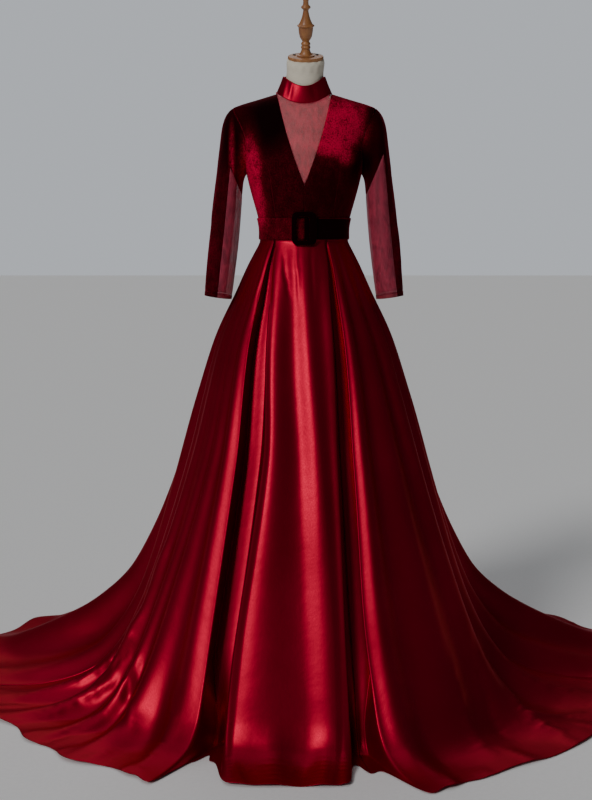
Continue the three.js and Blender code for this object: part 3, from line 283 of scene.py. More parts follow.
def around_skirt(values):
    """A ring's value at all DEGREES from the front: one smooth curve through its stations."""
    angles = np.array([-RING_ANGLES[1], *RING_ANGLES, 360 - RING_ANGLES[3]], float)
    points = np.stack([angles, np.array([values[1], *values, values[3]], float)], axis=1)
    gaps = np.linalg.norm(np.diff(points, axis=0), axis=1) ** 0.5
    drawn = []
    for i in range(1, len(points) - 2):
        p0, p1, p2, p3 = points[i - 1 : i + 3]
        g0, g1, g2 = gaps[i - 1 : i + 2]
        m1 = ((p1 - p0) / g0 - (p2 - p0) / (g0 + g1) + (p2 - p1) / g1) * g1
        m2 = ((p2 - p1) / g1 - (p3 - p1) / (g1 + g2) + (p3 - p2) / g2) * g1
        t = np.linspace(0, 1, 61)[:, None]
        drawn.append(
            (2 * t**3 - 3 * t**2 + 1) * p1
            + (t**3 - 2 * t**2 + t) * m1
            + (3 * t**2 - 2 * t**3) * p2
            + (t**3 - t**2) * m2
        )
    drawn = np.concatenate(drawn)
    return np.interp(DEGREES, drawn[:, 0], drawn[:, 1])


def waist_radius(out):
    """The waist seam is an ellipse."""
    turn = np.radians(DEGREES)
    return 1 / np.hypot(np.sin(turn) / (WAIST["half"] + out), np.cos(turn) / (WAIST["depth"] + out))


ring_radius = np.array([around_skirt(ring[0]) for ring in RINGS.values()])
ring_radius[0], ring_radius[1] = waist_radius(0), waist_radius(0.8)
ring_height = np.array([around_skirt(ring[1]) for ring in RINGS.values()])


def skirt_base(angles, level):
    """Points of the smooth skirt without its folds, at a level between two rings."""
    radius = monotone(range(len(RINGS)), ring_radius, level)
    height = monotone(range(len(RINGS)), ring_height, level)
    size = np.abs(angles)
    size = np.where(size > 180, 360 - size, size)
    r = np.interp(size, DEGREES, radius)
    z = np.interp(size, DEGREES, height)
    turn = np.radians(angles)
    return np.stack([r * np.sin(turn), -r * np.cos(turn), z], axis=-1)


def unit(vectors):
    return vectors / np.maximum(np.linalg.norm(vectors, axis=-1, keepdims=True), 1e-9)


def ease(x):
    x = np.clip(x, 0, 1)
    return x * x * (3 - 2 * x)


LEVEL_STEP = 0.1  # how far up and down the skirt's slope is taken, in rings
FLOOR_REST = 1  # how high the satin lies on the floor
FLOOR_BEND = 3  # how softly it turns where it meets the floor
FLOOR_FADE = 40  # the height above the floor over which that turn ends


def skirt_row(stations, level):
    """The skirt's points at a level. Stations count the folds, with parts of one between two."""
    at = np.array([monotone(FOLD_RINGS, FOLDS[name][0], level) for name in FOLD_ORDER])
    off = np.array([monotone(FOLD_RINGS, FOLDS[name][1], level) for name in FOLD_ORDER])
    reach = np.array([FOLDS[name][2] for name in FOLD_ORDER], float)
    first = np.minimum(stations.astype(int), len(FOLD_ORDER) - 2)
    part = stations - first
    mix = (1 - np.cos(np.pi * part)) / 2
    angles = at[first] * (1 - part) + at[first + 1] * part
    depth = off[first] * (1 - mix) + off[first + 1] * mix
    drawn_out = reach[first] * (1 - mix) + reach[first + 1] * mix
    below = skirt_base(angles, min(HEM_RING, level + LEVEL_STEP))
    above = skirt_base(angles, max(0, level - LEVEL_STEP))
    along = below - above
    around = skirt_base(angles + 0.5, level) - skirt_base(angles - 0.5, level)
    points = skirt_base(angles, level) + unit(np.cross(along, around)) * depth[:, None]
    turn = np.radians(angles)
    radial = np.stack([np.sin(turn), -np.cos(turn), 0 * angles], axis=-1)
    low = RING_ORDER.index("low")
    points += radial * (drawn_out * ease((level - low) / (HEM_RING - low)))[:, None]
    lift = points[:, 2] - FLOOR_REST
    bent = FLOOR_REST + (lift + np.sqrt(lift**2 + FLOOR_BEND**2)) / 2
    points[:, 2] = bent - FLOOR_BEND / 2 * ease(lift / FLOOR_FADE)
    return points


def show(mesh, name, material):
    """Puts a mesh into the scene as an object with its material, shaded smooth."""
    mesh.polygons.foreach_set("use_smooth", [True] * len(mesh.polygons))
    made = bpy.data.objects.new(name, mesh)
    bpy.context.scene.collection.objects.link(made)
    made.data.materials.append(material)
    return made


def grid_faces(count, width, open_edges=1):
    """Quads between a grid's points. With no open edges the grid meets itself both ways."""
    return [
        (
            i * width + j,
            (i + 1) % count * width + j,
            (i + 1) % count * width + (j + 1) % width,
            i * width + (j + 1) % width,
        )
        for i in range(count - open_edges)
        for j in range(width - open_edges)
    ]


def sheet_object(name, rows, material, uv):
    """A grid of points as one sheet of quads, with its faces to the outside."""
    mesh = bpy.data.meshes.new(name)
    mesh.from_pydata((rows * MM).reshape(-1, 3).tolist(), [], grid_faces(*rows.shape[:2]))
    layer = mesh.uv_layers.new(name="cloth")
    corners = np.array([loop.vertex_index for loop in mesh.loops])
    layer.data.foreach_set("uv", uv.reshape(-1, 2)[corners].ravel())
    mesh.update()
    return show(mesh, name, material)


def apply_modifiers(piece):
    bpy.ops.object.select_all(action="DESELECT")
    piece.select_set(True)
    bpy.context.view_layer.objects.active = piece
    for modifier in list(piece.modifiers):
        bpy.ops.object.modifier_apply(modifier=modifier.name)
    piece.select_set(False)


def thicken(piece, wall):
    """Gives a sheet its thickness, towards its inside."""
    solid = piece.modifiers.new("thickness", "SOLIDIFY")
    solid.thickness = wall * MM
    solid.offset = -1
    solid.use_quality_normals = False
    apply_modifiers(piece)


def press(points, normals, creases):
    """Presses given creases into points: soft troughs (-) and ridges (+).

    A crease is a path of points in millimetres, a width and a height. It fades at both ends."""
    moved = np.zeros(len(points))
    for path, width, height in creases:
        path = np.asarray(path, float)
        steps = np.linalg.norm(np.diff(path, axis=0), axis=1)
        run = np.concatenate([[0], np.cumsum(steps)])
        count = max(4, int(run[-1] / (width * 0.6)))
        along = np.linspace(0, run[-1], count)
        samples = np.stack([np.interp(along, run, path[:, c]) for c in range(3)], axis=-1)
        reach = 3 * width + 12
        past_least = np.all(points > samples.min(0) - reach, axis=1)
        below_most = np.all(points < samples.max(0) + reach, axis=1)
        near = np.where(past_least & below_most)[0]
        if len(near) == 0:
            continue
        tree = KDTree(len(near))
        for i, point in enumerate(points[near]):
            tree.insert(point, i)
        tree.balance()
        samples = np.array([tree.find(sample)[0] for sample in samples])
        fade = np.sin(np.pi * np.clip((np.arange(count) + 0.5) / count, 0, 1)) ** 0.6
        lap = np.zeros(len(near))
        for sample, strength in zip(samples, fade):
            distance = np.linalg.norm(points[near] - sample, axis=1)
            lap = np.maximum(lap, strength * np.exp(-((distance / width) ** 2)))
        moved[near] += height * lap
    return points + normals * moved[:, None]


def grid_normals(rows):
    """Normals of a grid of points, to the outside."""
    down = np.gradient(rows, axis=0)
    across = np.gradient(rows, axis=1)
    return unit(np.cross(down, across))


def range_on(material, source, socket, seen, wanted):
    """A value that goes between two seen limits, brought to go between two wanted ones."""
    made = node(
        material,
        "ShaderNodeMapRange",
        From_Min=seen[0],
        From_Max=seen[1],
        To_Min=wanted[0],
        To_Max=wanted[1],
    )
    join(material, source, socket, made, "Value")
    return made


satin, satin_shader = plain_material("satin", (0.30, 0.0006, 0.016), 0.4)
satin_shader.inputs["Metallic"].default_value = 0.8
satin_shader.inputs["Specular Tint"].default_value = (1.0, 0.35, 0.4, 1)
satin_dye = noise_on(satin, 5, 3)
satin_tone = ramp_on(
    satin, satin_dye, "Fac", [(0.3, (0.27, 0.0006, 0.016)), (0.7, (0.34, 0.001, 0.022))]
)
join(satin, satin_tone, "Color", satin_shader, "Base Color")
satin_slub = noise_on(satin, 700, 3, (1, 1, 0.12))
satin_gloss = range_on(satin, satin_slub, "Fac", (0.25, 0.75), (0.36, 0.46))
join(satin, satin_gloss, "Result", satin_shader, "Roughness")
satin_soft = noise_on(satin, 30, 3)
satin_drape = bump_on(satin, satin_shader, satin_soft, "Fac", 0.0014, 0.4)
bump_on(satin, satin_shader, satin_slub, "Fac", 0.0001, 0.6, satin_drape)

# Creases: points along each, its width and its height, ridges up and troughs down.
SKIRT_CREASES = [
    ([(-56, -84, 1216), (-50, -125, 1145), (-38, -154, 1080)], 4, -1.8),
    ([(-21, -93, 1217), (-19, -130, 1150), (-16, -163, 1080)], 5, 1.6),
    ([(18, -93, 1217), (20, -140, 1130), (22, -165, 1070)], 5, -1.2),
    ([(-96, -70, 1216), (-108, -95, 1150), (-128, -120, 1060)], 6, 2.2),
    ([(-80, -80, 1216), (-96, -120, 1130), (-118, -170, 1010)], 7, -2.0),
    ([(92, -70, 1216), (112, -95, 1140), (140, -115, 1050)], 6, 1.8),
    ([(124, -66, 1160), (212, -120, 915), (290, -170, 655)], 14, 4.0),
    ([(-365, -185, 435), (-427, -150, 305), (-472, -205, 195), (-590, -140, 72),
      (-715, -140, 24), (-800, -175, 6)], 14, 7.0),
    ([(-446, -234, 165), (-453, -310, 90), (-463, -430, 37)], 14, -5.0),
    ([(-425, -250, 175), (-428, -330, 90), (-432, -450, 34)], 14, 4.0),
    ([(-457, -222, 180), (-511, -222, 117), (-577, -232, 60)], 10, -4.5),
    ([(-444, -290, 141), (-589, -241, 47), (-713, -308, 8)], 13, 5.0),
    ([(-429, -207, 256), (-508, -165, 126), (-573, -240, 52)], 12, 4.0),
    ([(-330, -420, 150), (-370, -520, 60), (-400, -610, 12)], 14, 4.5),
    ([(-520, -330, 70), (-600, -400, 24), (-660, -450, 6)], 12, -3.5),
    ([(463, -135, 192), (522, -221, 75), (574, -319, 31), (666, -276, 9), (746, -246, 3)], 14, 7.0),
    ([(575, -315, 33), (627, -382, 11), (655, -410, 5)], 13, 6.0),
    ([(430, -230, 215), (470, -330, 90), (500, -430, 26)], 12, -4.0),
    ([(380, -330, 230), (420, -430, 90), (450, -540, 20)], 15, 4.0),
    ([(520, -120, 150), (640, -130, 60), (780, -110, 12)], 13, 4.5),
    ([(330, 160, 560), (400, 240, 330), (480, 330, 130), (600, 420, 30)], 15, 6.0),
    ([(200, 250, 600), (240, 330, 380), (290, 420, 150), (350, 520, 30)], 14, -5.0),
    ([(60, 220, 820), (75, 300, 500), (90, 390, 220)], 16, 4.5),
    ([(-90, 220, 800), (-120, 300, 520), (-160, 390, 230), (-200, 470, 60)], 15, 5.5),
    ([(-250, 230, 620), (-320, 320, 350), (-400, 420, 120), (-480, 520, 25)], 14, -4.5),
    ([(-360, 130, 520), (-450, 190, 300), (-580, 260, 110), (-720, 330, 30)], 16, 6.0),
    ([(-130, 95, 1190), (-150, 130, 1090), (-185, 170, 960)], 8, 2.4),
    ([(-40, 95, 1210), (-46, 140, 1110), (-55, 180, 980)], 7, -2.0),
    ([(35, 95, 1210), (44, 140, 1120), (60, 185, 970)], 7, 2.2),
    ([(110, 80, 1205), (140, 120, 1090), (170, 160, 980)], 8, -2.0),
]  # fmt: skip
# Small crumples at the hem: degrees from the front, length up from the hem, width and lift.
CRUMPLE_TOP = 150  # none goes higher above the floor
HEM_CRUMPLES = [
    (-172, 60, 16, 3.0), (-151, 80, 20, 4.0), (-139, 50, 13, 2.6), (-122, 90, 22, 4.5),
    (-109, 60, 15, 3.4), (-101, 45, 12, 2.6), (-94, 80, 18, 4.0), (-84, 50, 13, 3.0),
    (-76, 70, 16, 3.6), (-68, 40, 11, 2.6), (-61, 75, 17, 4.0), (-50, 55, 14, 3.2),
    (-43, 80, 18, 4.2), (-35, 45, 12, 3.0), (-13.5, 110, 18, 5.0), (-9.5, 80, 13, -4.0),
    (-5, 150, 26, 8.0), (-1, 90, 14, -5.0), (2.5, 120, 20, 6.0), (7, 150, 20, 6.0),
    (27, 60, 15, 3.4), (34, 45, 12, 2.8), (45, 80, 19, 4.2), (56, 50, 13, 3.0),
    (66, 75, 17, 3.8), (73, 45, 12, 2.6), (86, 85, 20, 4.4), (97, 55, 14, 3.0),
    (107, 70, 17, 3.6), (121, 50, 13, 2.8), (133, 90, 21, 4.4), (146, 60, 15, 3.2),
    (164, 75, 18, 3.6),
]  # fmt: skip
# The rows of points stand closer together where the skirt nears the floor: from one ring, to
# another, and how many.
ROW_SPANS = [(0, 1, 6), (1, 9, 65), (9, 14.4, 66), (14.4, 15, 13)]
SATIN_WALL = 0.8
OFF_THE_SOLIDS = 0.5
LOWEST = SATIN_WALL + 0.1  # the outer face's least height, with the wall under it
CLOTH_PER_FOLD = 0.08  # metres of satin from one fold to the next, in the cloth's own map
skirt_levels = np.unique(np.concatenate([np.linspace(*span) for span in ROW_SPANS]))
skirt_stations = np.arange((len(FOLD_ORDER) - 1) * PIECES_BETWEEN_FOLDS + 1) / PIECES_BETWEEN_FOLDS
skirt_rows = np.array([skirt_row(skirt_stations, level) for level in skirt_levels])
skirt_out = grid_normals(skirt_rows)
skirt_shape = skirt_rows.shape
hem_angles = np.degrees(np.arctan2(skirt_rows[-1, :, 0], -skirt_rows[-1, :, 1]))
hem_creases = []
for degrees, length, width, lift in HEM_CRUMPLES:
    line = skirt_rows[:, np.argmin(np.abs(hem_angles - degrees))]
    from_hem = np.linalg.norm(line - line[-1], axis=1)
    hem_creases.append((line[(from_hem < length) & (line[:, 2] < CRUMPLE_TOP)], width, lift))
all_creases = SKIRT_CREASES + hem_creases
pressed = press(skirt_rows.reshape(-1, 3), skirt_out.reshape(-1, 3), all_creases)
skirt_rows = pressed.reshape(skirt_shape)
skirt_rows += skirt_out * OFF_THE_SOLIDS
skirt_rows[..., 2] = np.maximum(skirt_rows[..., 2], LOWEST)
skirt_run = np.zeros(skirt_shape[:2])
skirt_run[1:] = np.cumsum(np.linalg.norm(np.diff(skirt_rows, axis=0), axis=2), axis=0)
skirt_across = np.broadcast_to(skirt_stations * CLOTH_PER_FOLD, skirt_shape[:2])
skirt_uv = np.stack([skirt_across, -skirt_run * MM], axis=-1)


def finish_piece(piece, slot_name, *nodes):
    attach(piece, "root")
    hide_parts(*nodes)


SEAM_DIPS = (0.4, 0.05)  # how deep the satin's outermost two lines of points are drawn in at a seam
SEAM_GAP = 0.15  # from the seam's line to the turned edge


def skirt_gore(node_name, name, first, last):
    """One gore between two fold lines, its edges turned in at the seams."""
    start, end = (FOLD_ORDER.index(fold) * PIECES_BETWEEN_FOLDS for fold in (first, last))
    rows = skirt_rows[:, start : end + 1].copy()
    out = skirt_out[:, start : end + 1]
    edge = np.minimum(np.arange(rows.shape[1]), np.arange(rows.shape[1])[::-1])
    seam = np.select([edge == 0, edge == 1], SEAM_DIPS, 0)
    rows -= out * seam[None, :, None]
    rows[:, 0] += unit(rows[:, 1] - rows[:, 0]) * SEAM_GAP
    rows[:, -1] += unit(rows[:, -2] - rows[:, -1]) * SEAM_GAP
    rows[..., 2] = np.maximum(rows[..., 2], LOWEST)
    piece = sheet_object(name, rows, satin, skirt_uv[:, start : end + 1])
    thicken(piece, SATIN_WALL)
    finish_piece(piece, "satin", node_name)


skirt_gore("skirt_front", "front_gore", "pleat_left", "pleat_right")
skirt_gore("skirt_side_L", "side_gore_L", "seam_left", "pleat_left")
skirt_gore("skirt_side_R", "side_gore_R", "pleat_right", "seam_right")
skirt_gore("skirt_back_L", "back_gore_L", "seam_back", "seam_left")
skirt_gore("skirt_back_R", "back_gore_R", "seam_right", "seam_back_again")


# Dress form: a padded torso covered in unbleached linen, which ends in the neck and has no arms.
# Only its neck shows, and a little of it through the net.
def whole_copy(node_name):
    """A CAD solid's shape as a closed body of quads, with its doubles merged."""
    shape = bmesh.new()
    shape.from_mesh(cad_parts[node_name].data)
    bmesh.ops.remove_doubles(shape, verts=shape.verts, dist=2e-5)
    return shape


def to_object(shape, name, material):
    """Ends a bmesh as an object of quads with its material, shaded smooth."""
    bmesh.ops.join_triangles(
        shape,
        faces=shape.faces,
        angle_face_threshold=math.pi,
        angle_shape_threshold=math.pi,
        topology_influence=1.0,
    )
    mesh = bpy.data.meshes.new(name)
    shape.to_mesh(mesh)
    shape.free()
    return show(mesh, name, material)


def coordinates(mesh):
    flat = np.empty(len(mesh.vertices) * 3)
    mesh.vertices.foreach_get("co", flat)
    return flat.reshape(-1, 3)


def normals_of(mesh):
    flat = np.empty(len(mesh.vertices) * 3, np.float32)
    mesh.vertex_normals.foreach_get("vector", flat)
    return flat.reshape(-1, 3).astype(float)


def set_coordinates(mesh, points):
    mesh.vertices.foreach_set("co", points.ravel())
    mesh.update()


def smooth_through(piece, cuts):
    """Subdivides a piece so that the smooth surface still runs through its own points.

    Three rounds draw the points out by nearly as much as smoothing pulled them in."""
    mesh = piece.data
    wanted = coordinates(mesh)
    modifier = piece.modifiers.new("smooth", "SUBSURF")
    modifier.levels = modifier.render_levels = cuts
    modifier.boundary_smooth = "PRESERVE_CORNERS"
    for _ in range(3):
        bpy.context.view_layer.update()
        drawn = piece.evaluated_get(bpy.context.evaluated_depsgraph_get()).data
        held = coordinates(drawn)[: len(wanted)]
        set_coordinates(mesh, coordinates(mesh) + 0.9 * (wanted - held))
    apply_modifiers(piece)


def math_on(material, operation, *sources):
    """Two values brought together. Each source is a node and the name of its socket."""
    made = node(material, "ShaderNodeMath", operation=operation)
    for into, (source, socket) in enumerate(sources):
        join(material, source, socket, made, into)
    return made


linen, linen_shader = plain_material("linen", (0.53, 0.48, 0.38), 0.9)
linen_shader.inputs["Sheen Weight"].default_value = 0.15
linen_warp = noise_on(linen, 1500, 2, (1, 1, 0.08))
linen_weft = noise_on(linen, 1500, 2, (0.08, 0.08, 1))
linen_weave = math_on(linen, "ADD", (linen_warp, "Fac"), (linen_weft, "Fac"))
linen_tone = ramp_on(
    linen, linen_weave, "Value", [(0.35, (0.60, 0.54, 0.42)), (1.0, (0.80, 0.74, 0.61))]
)
join(linen, linen_tone, "Color", linen_shader, "Base Color")
bump_on(linen, linen_shader, linen_weave, "Value", 0.0004, 0.5)

torso = to_object(whole_copy("form_torso"), "linen_torso", linen)
smooth_through(torso, 2)
finish_piece(torso, "linen", "form_torso")


# Neck cap and finial: turned beech, varnished. The cap closes the form's neck and carries the
# finial, and two dark screws hold it. All of it leans forward with the neck.
LEAN_OF_CAP = math.radians(18)
CAP_PLACE = (4, 0, 1704.3)
CAP_PROFILE = [(0, 0), (45.5, 0), (47, 1.5), (47, 6.5), (45.5, 8), (0, 8)]
FINIAL_PROFILE = [
    (0, 8.3), (23.5, 8.3), (23.5, 10.8), (18, 11.8), (15, 15.3), (12, 21.3), (11, 26.3),
    (12.7, 30.3), (10.8, 35.3), (12.5, 39.8), (8.7, 45.8), (15.3, 56.3), (18.2, 69.3),
    (19.3, 82.3), (22.7, 85.3), (21.5, 87.3), (17.3, 90.8), (11.5, 103.8), (8.2, 116.3),
    (7.2, 125.3), (12.3, 130.8), (11, 135.3), (7.8, 138.3), (6.9, 146.3), (8.1, 153.3),
    (6.5, 156.9), (0, 157.3),
]  # fmt: skip
SCREW_PROFILE = [(0, 8.3), (4, 8.3), (3.4, 9.9), (2, 10.5), (0, 10.7)]


def turned_piece(
    name, profile, material, sides=64, bevel=0.5, shift=(0, 0), place=(0, 0, 0), lean=0.0
):
    """A piece turned on a lathe: its profile is drawn point by point, then spun round its axis."""
    bpy.ops.object.select_all(action="DESELECT")
    bpy.ops.mesh.primitive_plane_add(size=0.001, location=(0, 0, 0))
    piece = bpy.context.object
    piece.name = name
    bpy.ops.object.mode_set(mode="EDIT")
    bpy.ops.mesh.select_all(action="SELECT")
    bpy.ops.mesh.merge(type="CENTER")
    first_r, first_z = profile[0]
    bpy.ops.transform.translate(value=(first_r * MM, 0, first_z * MM))
    for (r0, z0), (r1, z1) in zip(profile, profile[1:]):
        step = ((r1 - r0) * MM, 0, (z1 - z0) * MM)
        bpy.ops.mesh.extrude_vertices_move(TRANSFORM_OT_translate={"value": step})
    bpy.ops.mesh.select_all(action="SELECT")
    bpy.ops.mesh.spin(steps=sides, angle=2 * math.pi, center=(0, 0, 0), axis=(0, 0, 1))
    bpy.ops.mesh.select_all(action="SELECT")
    bpy.ops.mesh.remove_doubles(threshold=1e-5)
    bpy.ops.mesh.normals_make_consistent(inside=False)
    bpy.ops.object.mode_set(mode="OBJECT")
    if bevel:
        rounded = piece.modifiers.new("rounded", "BEVEL")
        rounded.width = bevel * MM
        rounded.segments = 3
        rounded.limit_method = "ANGLE"
        rounded.angle_limit = math.radians(28)
        apply_modifiers(piece)
    piece.data.transform(Matrix.Translation((shift[0] * MM, shift[1] * MM, 0)))
    turn = Matrix.Rotation(lean, 4, "X")
    where = Matrix.Translation(Vector(place) * MM)
    piece.data.transform(where @ turn)
    piece.data.materials.append(material)
    bpy.ops.object.select_all(action="DESELECT")
    piece.select_set(True)
    bpy.context.view_layer.objects.active = piece
    bpy.ops.object.shade_smooth_by_angle(angle=math.radians(40))
    bpy.ops.object.select_all(action="DESELECT")
    return piece


def wood_material(name, light, dark, gloss):
    """Turned wood: long grain, fine pores, and a clear varnish over it."""
    wood, shader = plain_material(name, light, gloss)
    grain = noise_on(wood, 60, 5, (1, 1, 0.12), 0.6)
    tone = ramp_on(wood, grain, "Fac", [(0.32, dark), (0.62, light)])
    join(wood, tone, "Color", shader, "Base Color")
    pores = noise_on(wood, 900, 2, (1, 1, 0.06))
    polish = range_on(wood, pores, "Fac", (0.3, 0.7), (gloss, gloss + 0.12))
    join(wood, polish, "Result", shader, "Roughness")
    bump_on(wood, shader, pores, "Fac", 0.0001, 0.5)
    shader.inputs["Coat Weight"].default_value = 0.25
    shader.inputs["Coat Roughness"].default_value = 0.28
    return wood


beech = wood_material("varnished_beech", (0.46, 0.20, 0.066), (0.29, 0.10, 0.03), 0.42)
screw_steel, screw_shader = plain_material("dark_screw", (0.05, 0.045, 0.04), 0.4)
screw_shader.inputs["Metallic"].default_value = 0.8
screw_wear = noise_on(screw_steel, 800, 2)
screw_polish = range_on(screw_steel, screw_wear, "Fac", (0.3, 0.7), (0.3, 0.55))
join(screw_steel, screw_polish, "Result", screw_shader, "Roughness")

cap = turned_piece("cap_disc", CAP_PROFILE, beech, place=CAP_PLACE, lean=LEAN_OF_CAP)
finish_piece(cap, "wood", "neck_cap")


def rounded_profile(profile, cuts, keep):
    """A profile with its swells rounded: a line through its points, smooth but at kept corners."""
    made = [profile[0]]
    for i in range(1, len(profile)):
        before, start, end, after = (
            np.array(profile[min(max(k, 0), len(profile) - 1)], float)
            for k in (i - 2, i - 1, i, i + 1)
        )
        if i - 1 in keep:
            before = start
        if i in keep:
            after = end
        for cut in range(1, cuts + 1):
            t = cut / cuts
            point = 0.5 * (
                2 * start
                + (end - before) * t
                + (2 * before - 5 * start + 4 * end - after) * t * t
                + (3 * start - before - 3 * end + after) * t**3
            )
            made.append((max(0.0, float(point[0])), float(point[1])))
    return made


FINIAL_CORNERS = (0, 1, 2, 3, 10, 13, 26)  # points of its profile that stay sharp
finial_line = rounded_profile(FINIAL_PROFILE, 4, FINIAL_CORNERS)
finial = turned_piece(
    "turned_finial", finial_line, beech, sides=48, bevel=0, place=CAP_PLACE, lean=LEAN_OF_CAP
)
finish_piece(finial, "wood", "finial")
for side, x in (("L", -30), ("R", 30)):
    screw = turned_piece(
        f"screw_{side}",
        SCREW_PROFILE,
        screw_steel,
        sides=20,
        bevel=0.2,
        shift=(x, 12),
        place=CAP_PLACE,
        lean=LEAN_OF_CAP,
    )
    finish_piece(screw, "metal", f"cap_screw_{side}")


# Stand: a wooden plate that closes the form from below, a steel pole under it and a round wooden
# base on the floor, all hidden by the skirt.
stand_wood = wood_material("stand_wood", (0.36, 0.17, 0.075), (0.23, 0.09, 0.035), 0.38)
pole_steel, pole_shader = plain_material("pole_steel", (0.55, 0.55, 0.54), 0.35)
pole_shader.inputs["Metallic"].default_value = 1.0
pole_brushing = noise_on(pole_steel, 900, 2, (1, 1, 0.03))
pole_polish = range_on(pole_steel, pole_brushing, "Fac", (0.3, 0.7), (0.28, 0.45))
join(pole_steel, pole_polish, "Result", pole_shader, "Roughness")
bump_on(pole_steel, pole_shader, pole_brushing, "Fac", 0.00005, 0.4)
PLATE_PROFILE = [(0, 1041.7), (60, 1041.7), (60, 1049.7), (0, 1049.7)]
POLE_PROFILE = [(0, 14.3), (14, 14.3), (14, 1041.4), (0, 1041.4)]
BASE_PROFILE = [(0, 0), (165, 0), (165, 9), (159, 14), (0, 14)]
plate = turned_piece("plate_disc", PLATE_PROFILE, stand_wood, bevel=1)
finish_piece(plate, "wood", "form_plate")
pole = turned_piece("pole_tube", POLE_PROFILE, pole_steel, sides=32)
finish_piece(pole, "metal", "stand_pole")
base = turned_piece("base_disc", BASE_PROFILE, stand_wood, sides=96, bevel=1.2)
finish_piece(base, "wood", "stand_base")


# Bodice: six panels of silk velvet, cut with princess seams that run up into the armholes, a V at
# the front and a centre back seam. Each edge is turned in and sewn to the next.
SHARP_EDGE = math.radians(50)


def outer_skin(node_name, centre=(0, 0)):
    """The outer face of a CAD wall: what its sharp edges part from the rims and the inner face."""
    shape = whole_copy(node_name)
    unseen = set(shape.faces)
    sides = []
    while unseen:
        reached = [unseen.pop()]
        side = []
        while reached:
            face = reached.pop()
            side.append(face)
            for edge in face.edges:
                if edge.calc_face_angle(math.pi) > SHARP_EDGE:
                    continue
                for other in edge.link_faces:
                    if other in unseen:
                        unseen.discard(other)
                        reached.append(other)
        sides.append(side)

    def faces_out(side):
        flow = 0
        for face in side:
            place = face.calc_center_median()
            away = Vector((place.x - centre[0] * MM, place.y - centre[1] * MM, 0))
            flow += face.calc_area() * face.normal.dot(away)
        return flow

    outer = max(sides, key=faces_out)
    rest = [face for side in sides if side is not outer for face in side]
    bmesh.ops.delete(shape, geom=rest, context="FACES")
    return shape


def border_distance(mesh):
    """How far each point is from the sheet's nearest free edge, in millimetres."""
    used = np.zeros(len(mesh.edges), int)
    loops = np.empty(len(mesh.loops), int)
    mesh.loops.foreach_get("edge_index", loops)
    np.add.at(used, loops, 1)
    pairs = np.empty(len(mesh.edges) * 2, int)
    mesh.edges.foreach_get("vertices", pairs)
    border = np.unique(pairs.reshape(-1, 2)[used == 1])
    points = coordinates(mesh)
    tree = KDTree(len(border))
    for i in border:
        tree.insert(points[i], int(i))
    tree.balance()
    return np.array([tree.find(point)[2] for point in points]) / MM


def turn_edges(piece, depth, reach):
    """Lowers a sheet towards its edges, as where a seam allowance is turned under."""
    mesh = piece.data
    near = np.clip(1 - border_distance(mesh) / reach, 0, 1) ** 2
    set_coordinates(mesh, coordinates(mesh) - normals_of(mesh) * (near * depth * MM)[:, None])


def crease_piece(piece, creases):
    mesh = piece.data
    points = press(coordinates(mesh) / MM, normals_of(mesh), creases)
    set_coordinates(mesh, points * MM)


def cloth_piece(node_name, name, material, cuts=3, centre=(0, 0), edge=(0.7, 5), creases=()):
    """A sheet on its CAD wall: smooth, with its edges turned in and its creases pressed.

    Edge is how deep they are turned in, and from how far."""
    piece = to_object(outer_skin(node_name, centre), name, material)
    smooth_through(piece, cuts)
    if edge:
        turn_edges(piece, *edge)
    crease_piece(piece, creases)
    return piece


velvet, velvet_shader = plain_material("velvet", (0.03, 0.0006, 0.003), 0.9)
velvet_shader.inputs["Sheen Weight"].default_value = 0.7
velvet_shader.inputs["Sheen Roughness"].default_value = 0.3
velvet_shader.inputs["Sheen Tint"].default_value = (0.8, 0.01, 0.06, 1)
velvet_shader.inputs["Specular IOR Level"].default_value = 0.1
velvet_shader.inputs["Specular Tint"].default_value = (1.0, 0.2, 0.25, 1)
velvet_pile = noise_on(velvet, 420, 4, (1, 1, 0.6), 0.7)
velvet_crush = noise_on(velvet, 60, 4, (1, 1, 0.7), 0.6)
# The velvet's colour is lifted by painted sheen and lowered by painted shade, carried by its
# points.
velvet_painted_sheen = node(velvet, "ShaderNodeAttribute", attribute_name="painted_sheen")
velvet_speckle = range_on(velvet, velvet_pile, "Fac", (0.35, 0.65), (0.1, 0.9))
velvet_mottle = math_on(velvet, "ADD", (velvet_speckle, "Result"), (velvet_crush, "Fac"))
velvet_mottle_and_painted_sheen = math_on(velvet, "MULTIPLY", (velvet_mottle, "Value"), (velvet_painted_sheen, "Fac"))
# Colour from near black to bright crimson: the light end is painted sheen, the dark end painted
# shade, over the pile's own mottle.
velvet_tone_and_painted_sheen = ramp_on(
    velvet,
    velvet_mottle_and_painted_sheen,
    "Value",
    [
        (0.02, (0.0035, 0.0002, 0.0006)),
        (0.3, (0.03, 0.0004, 0.002)),
        (0.6, (0.14, 0.001, 0.009)),
        (0.98, (0.66, 0.008, 0.055)),
    ],
)
join(velvet, velvet_tone_and_painted_sheen, "Color", velvet_shader, "Base Color")
bump_on(velvet, velvet_shader, velvet_mottle, "Value", 0.0006, 0.7)

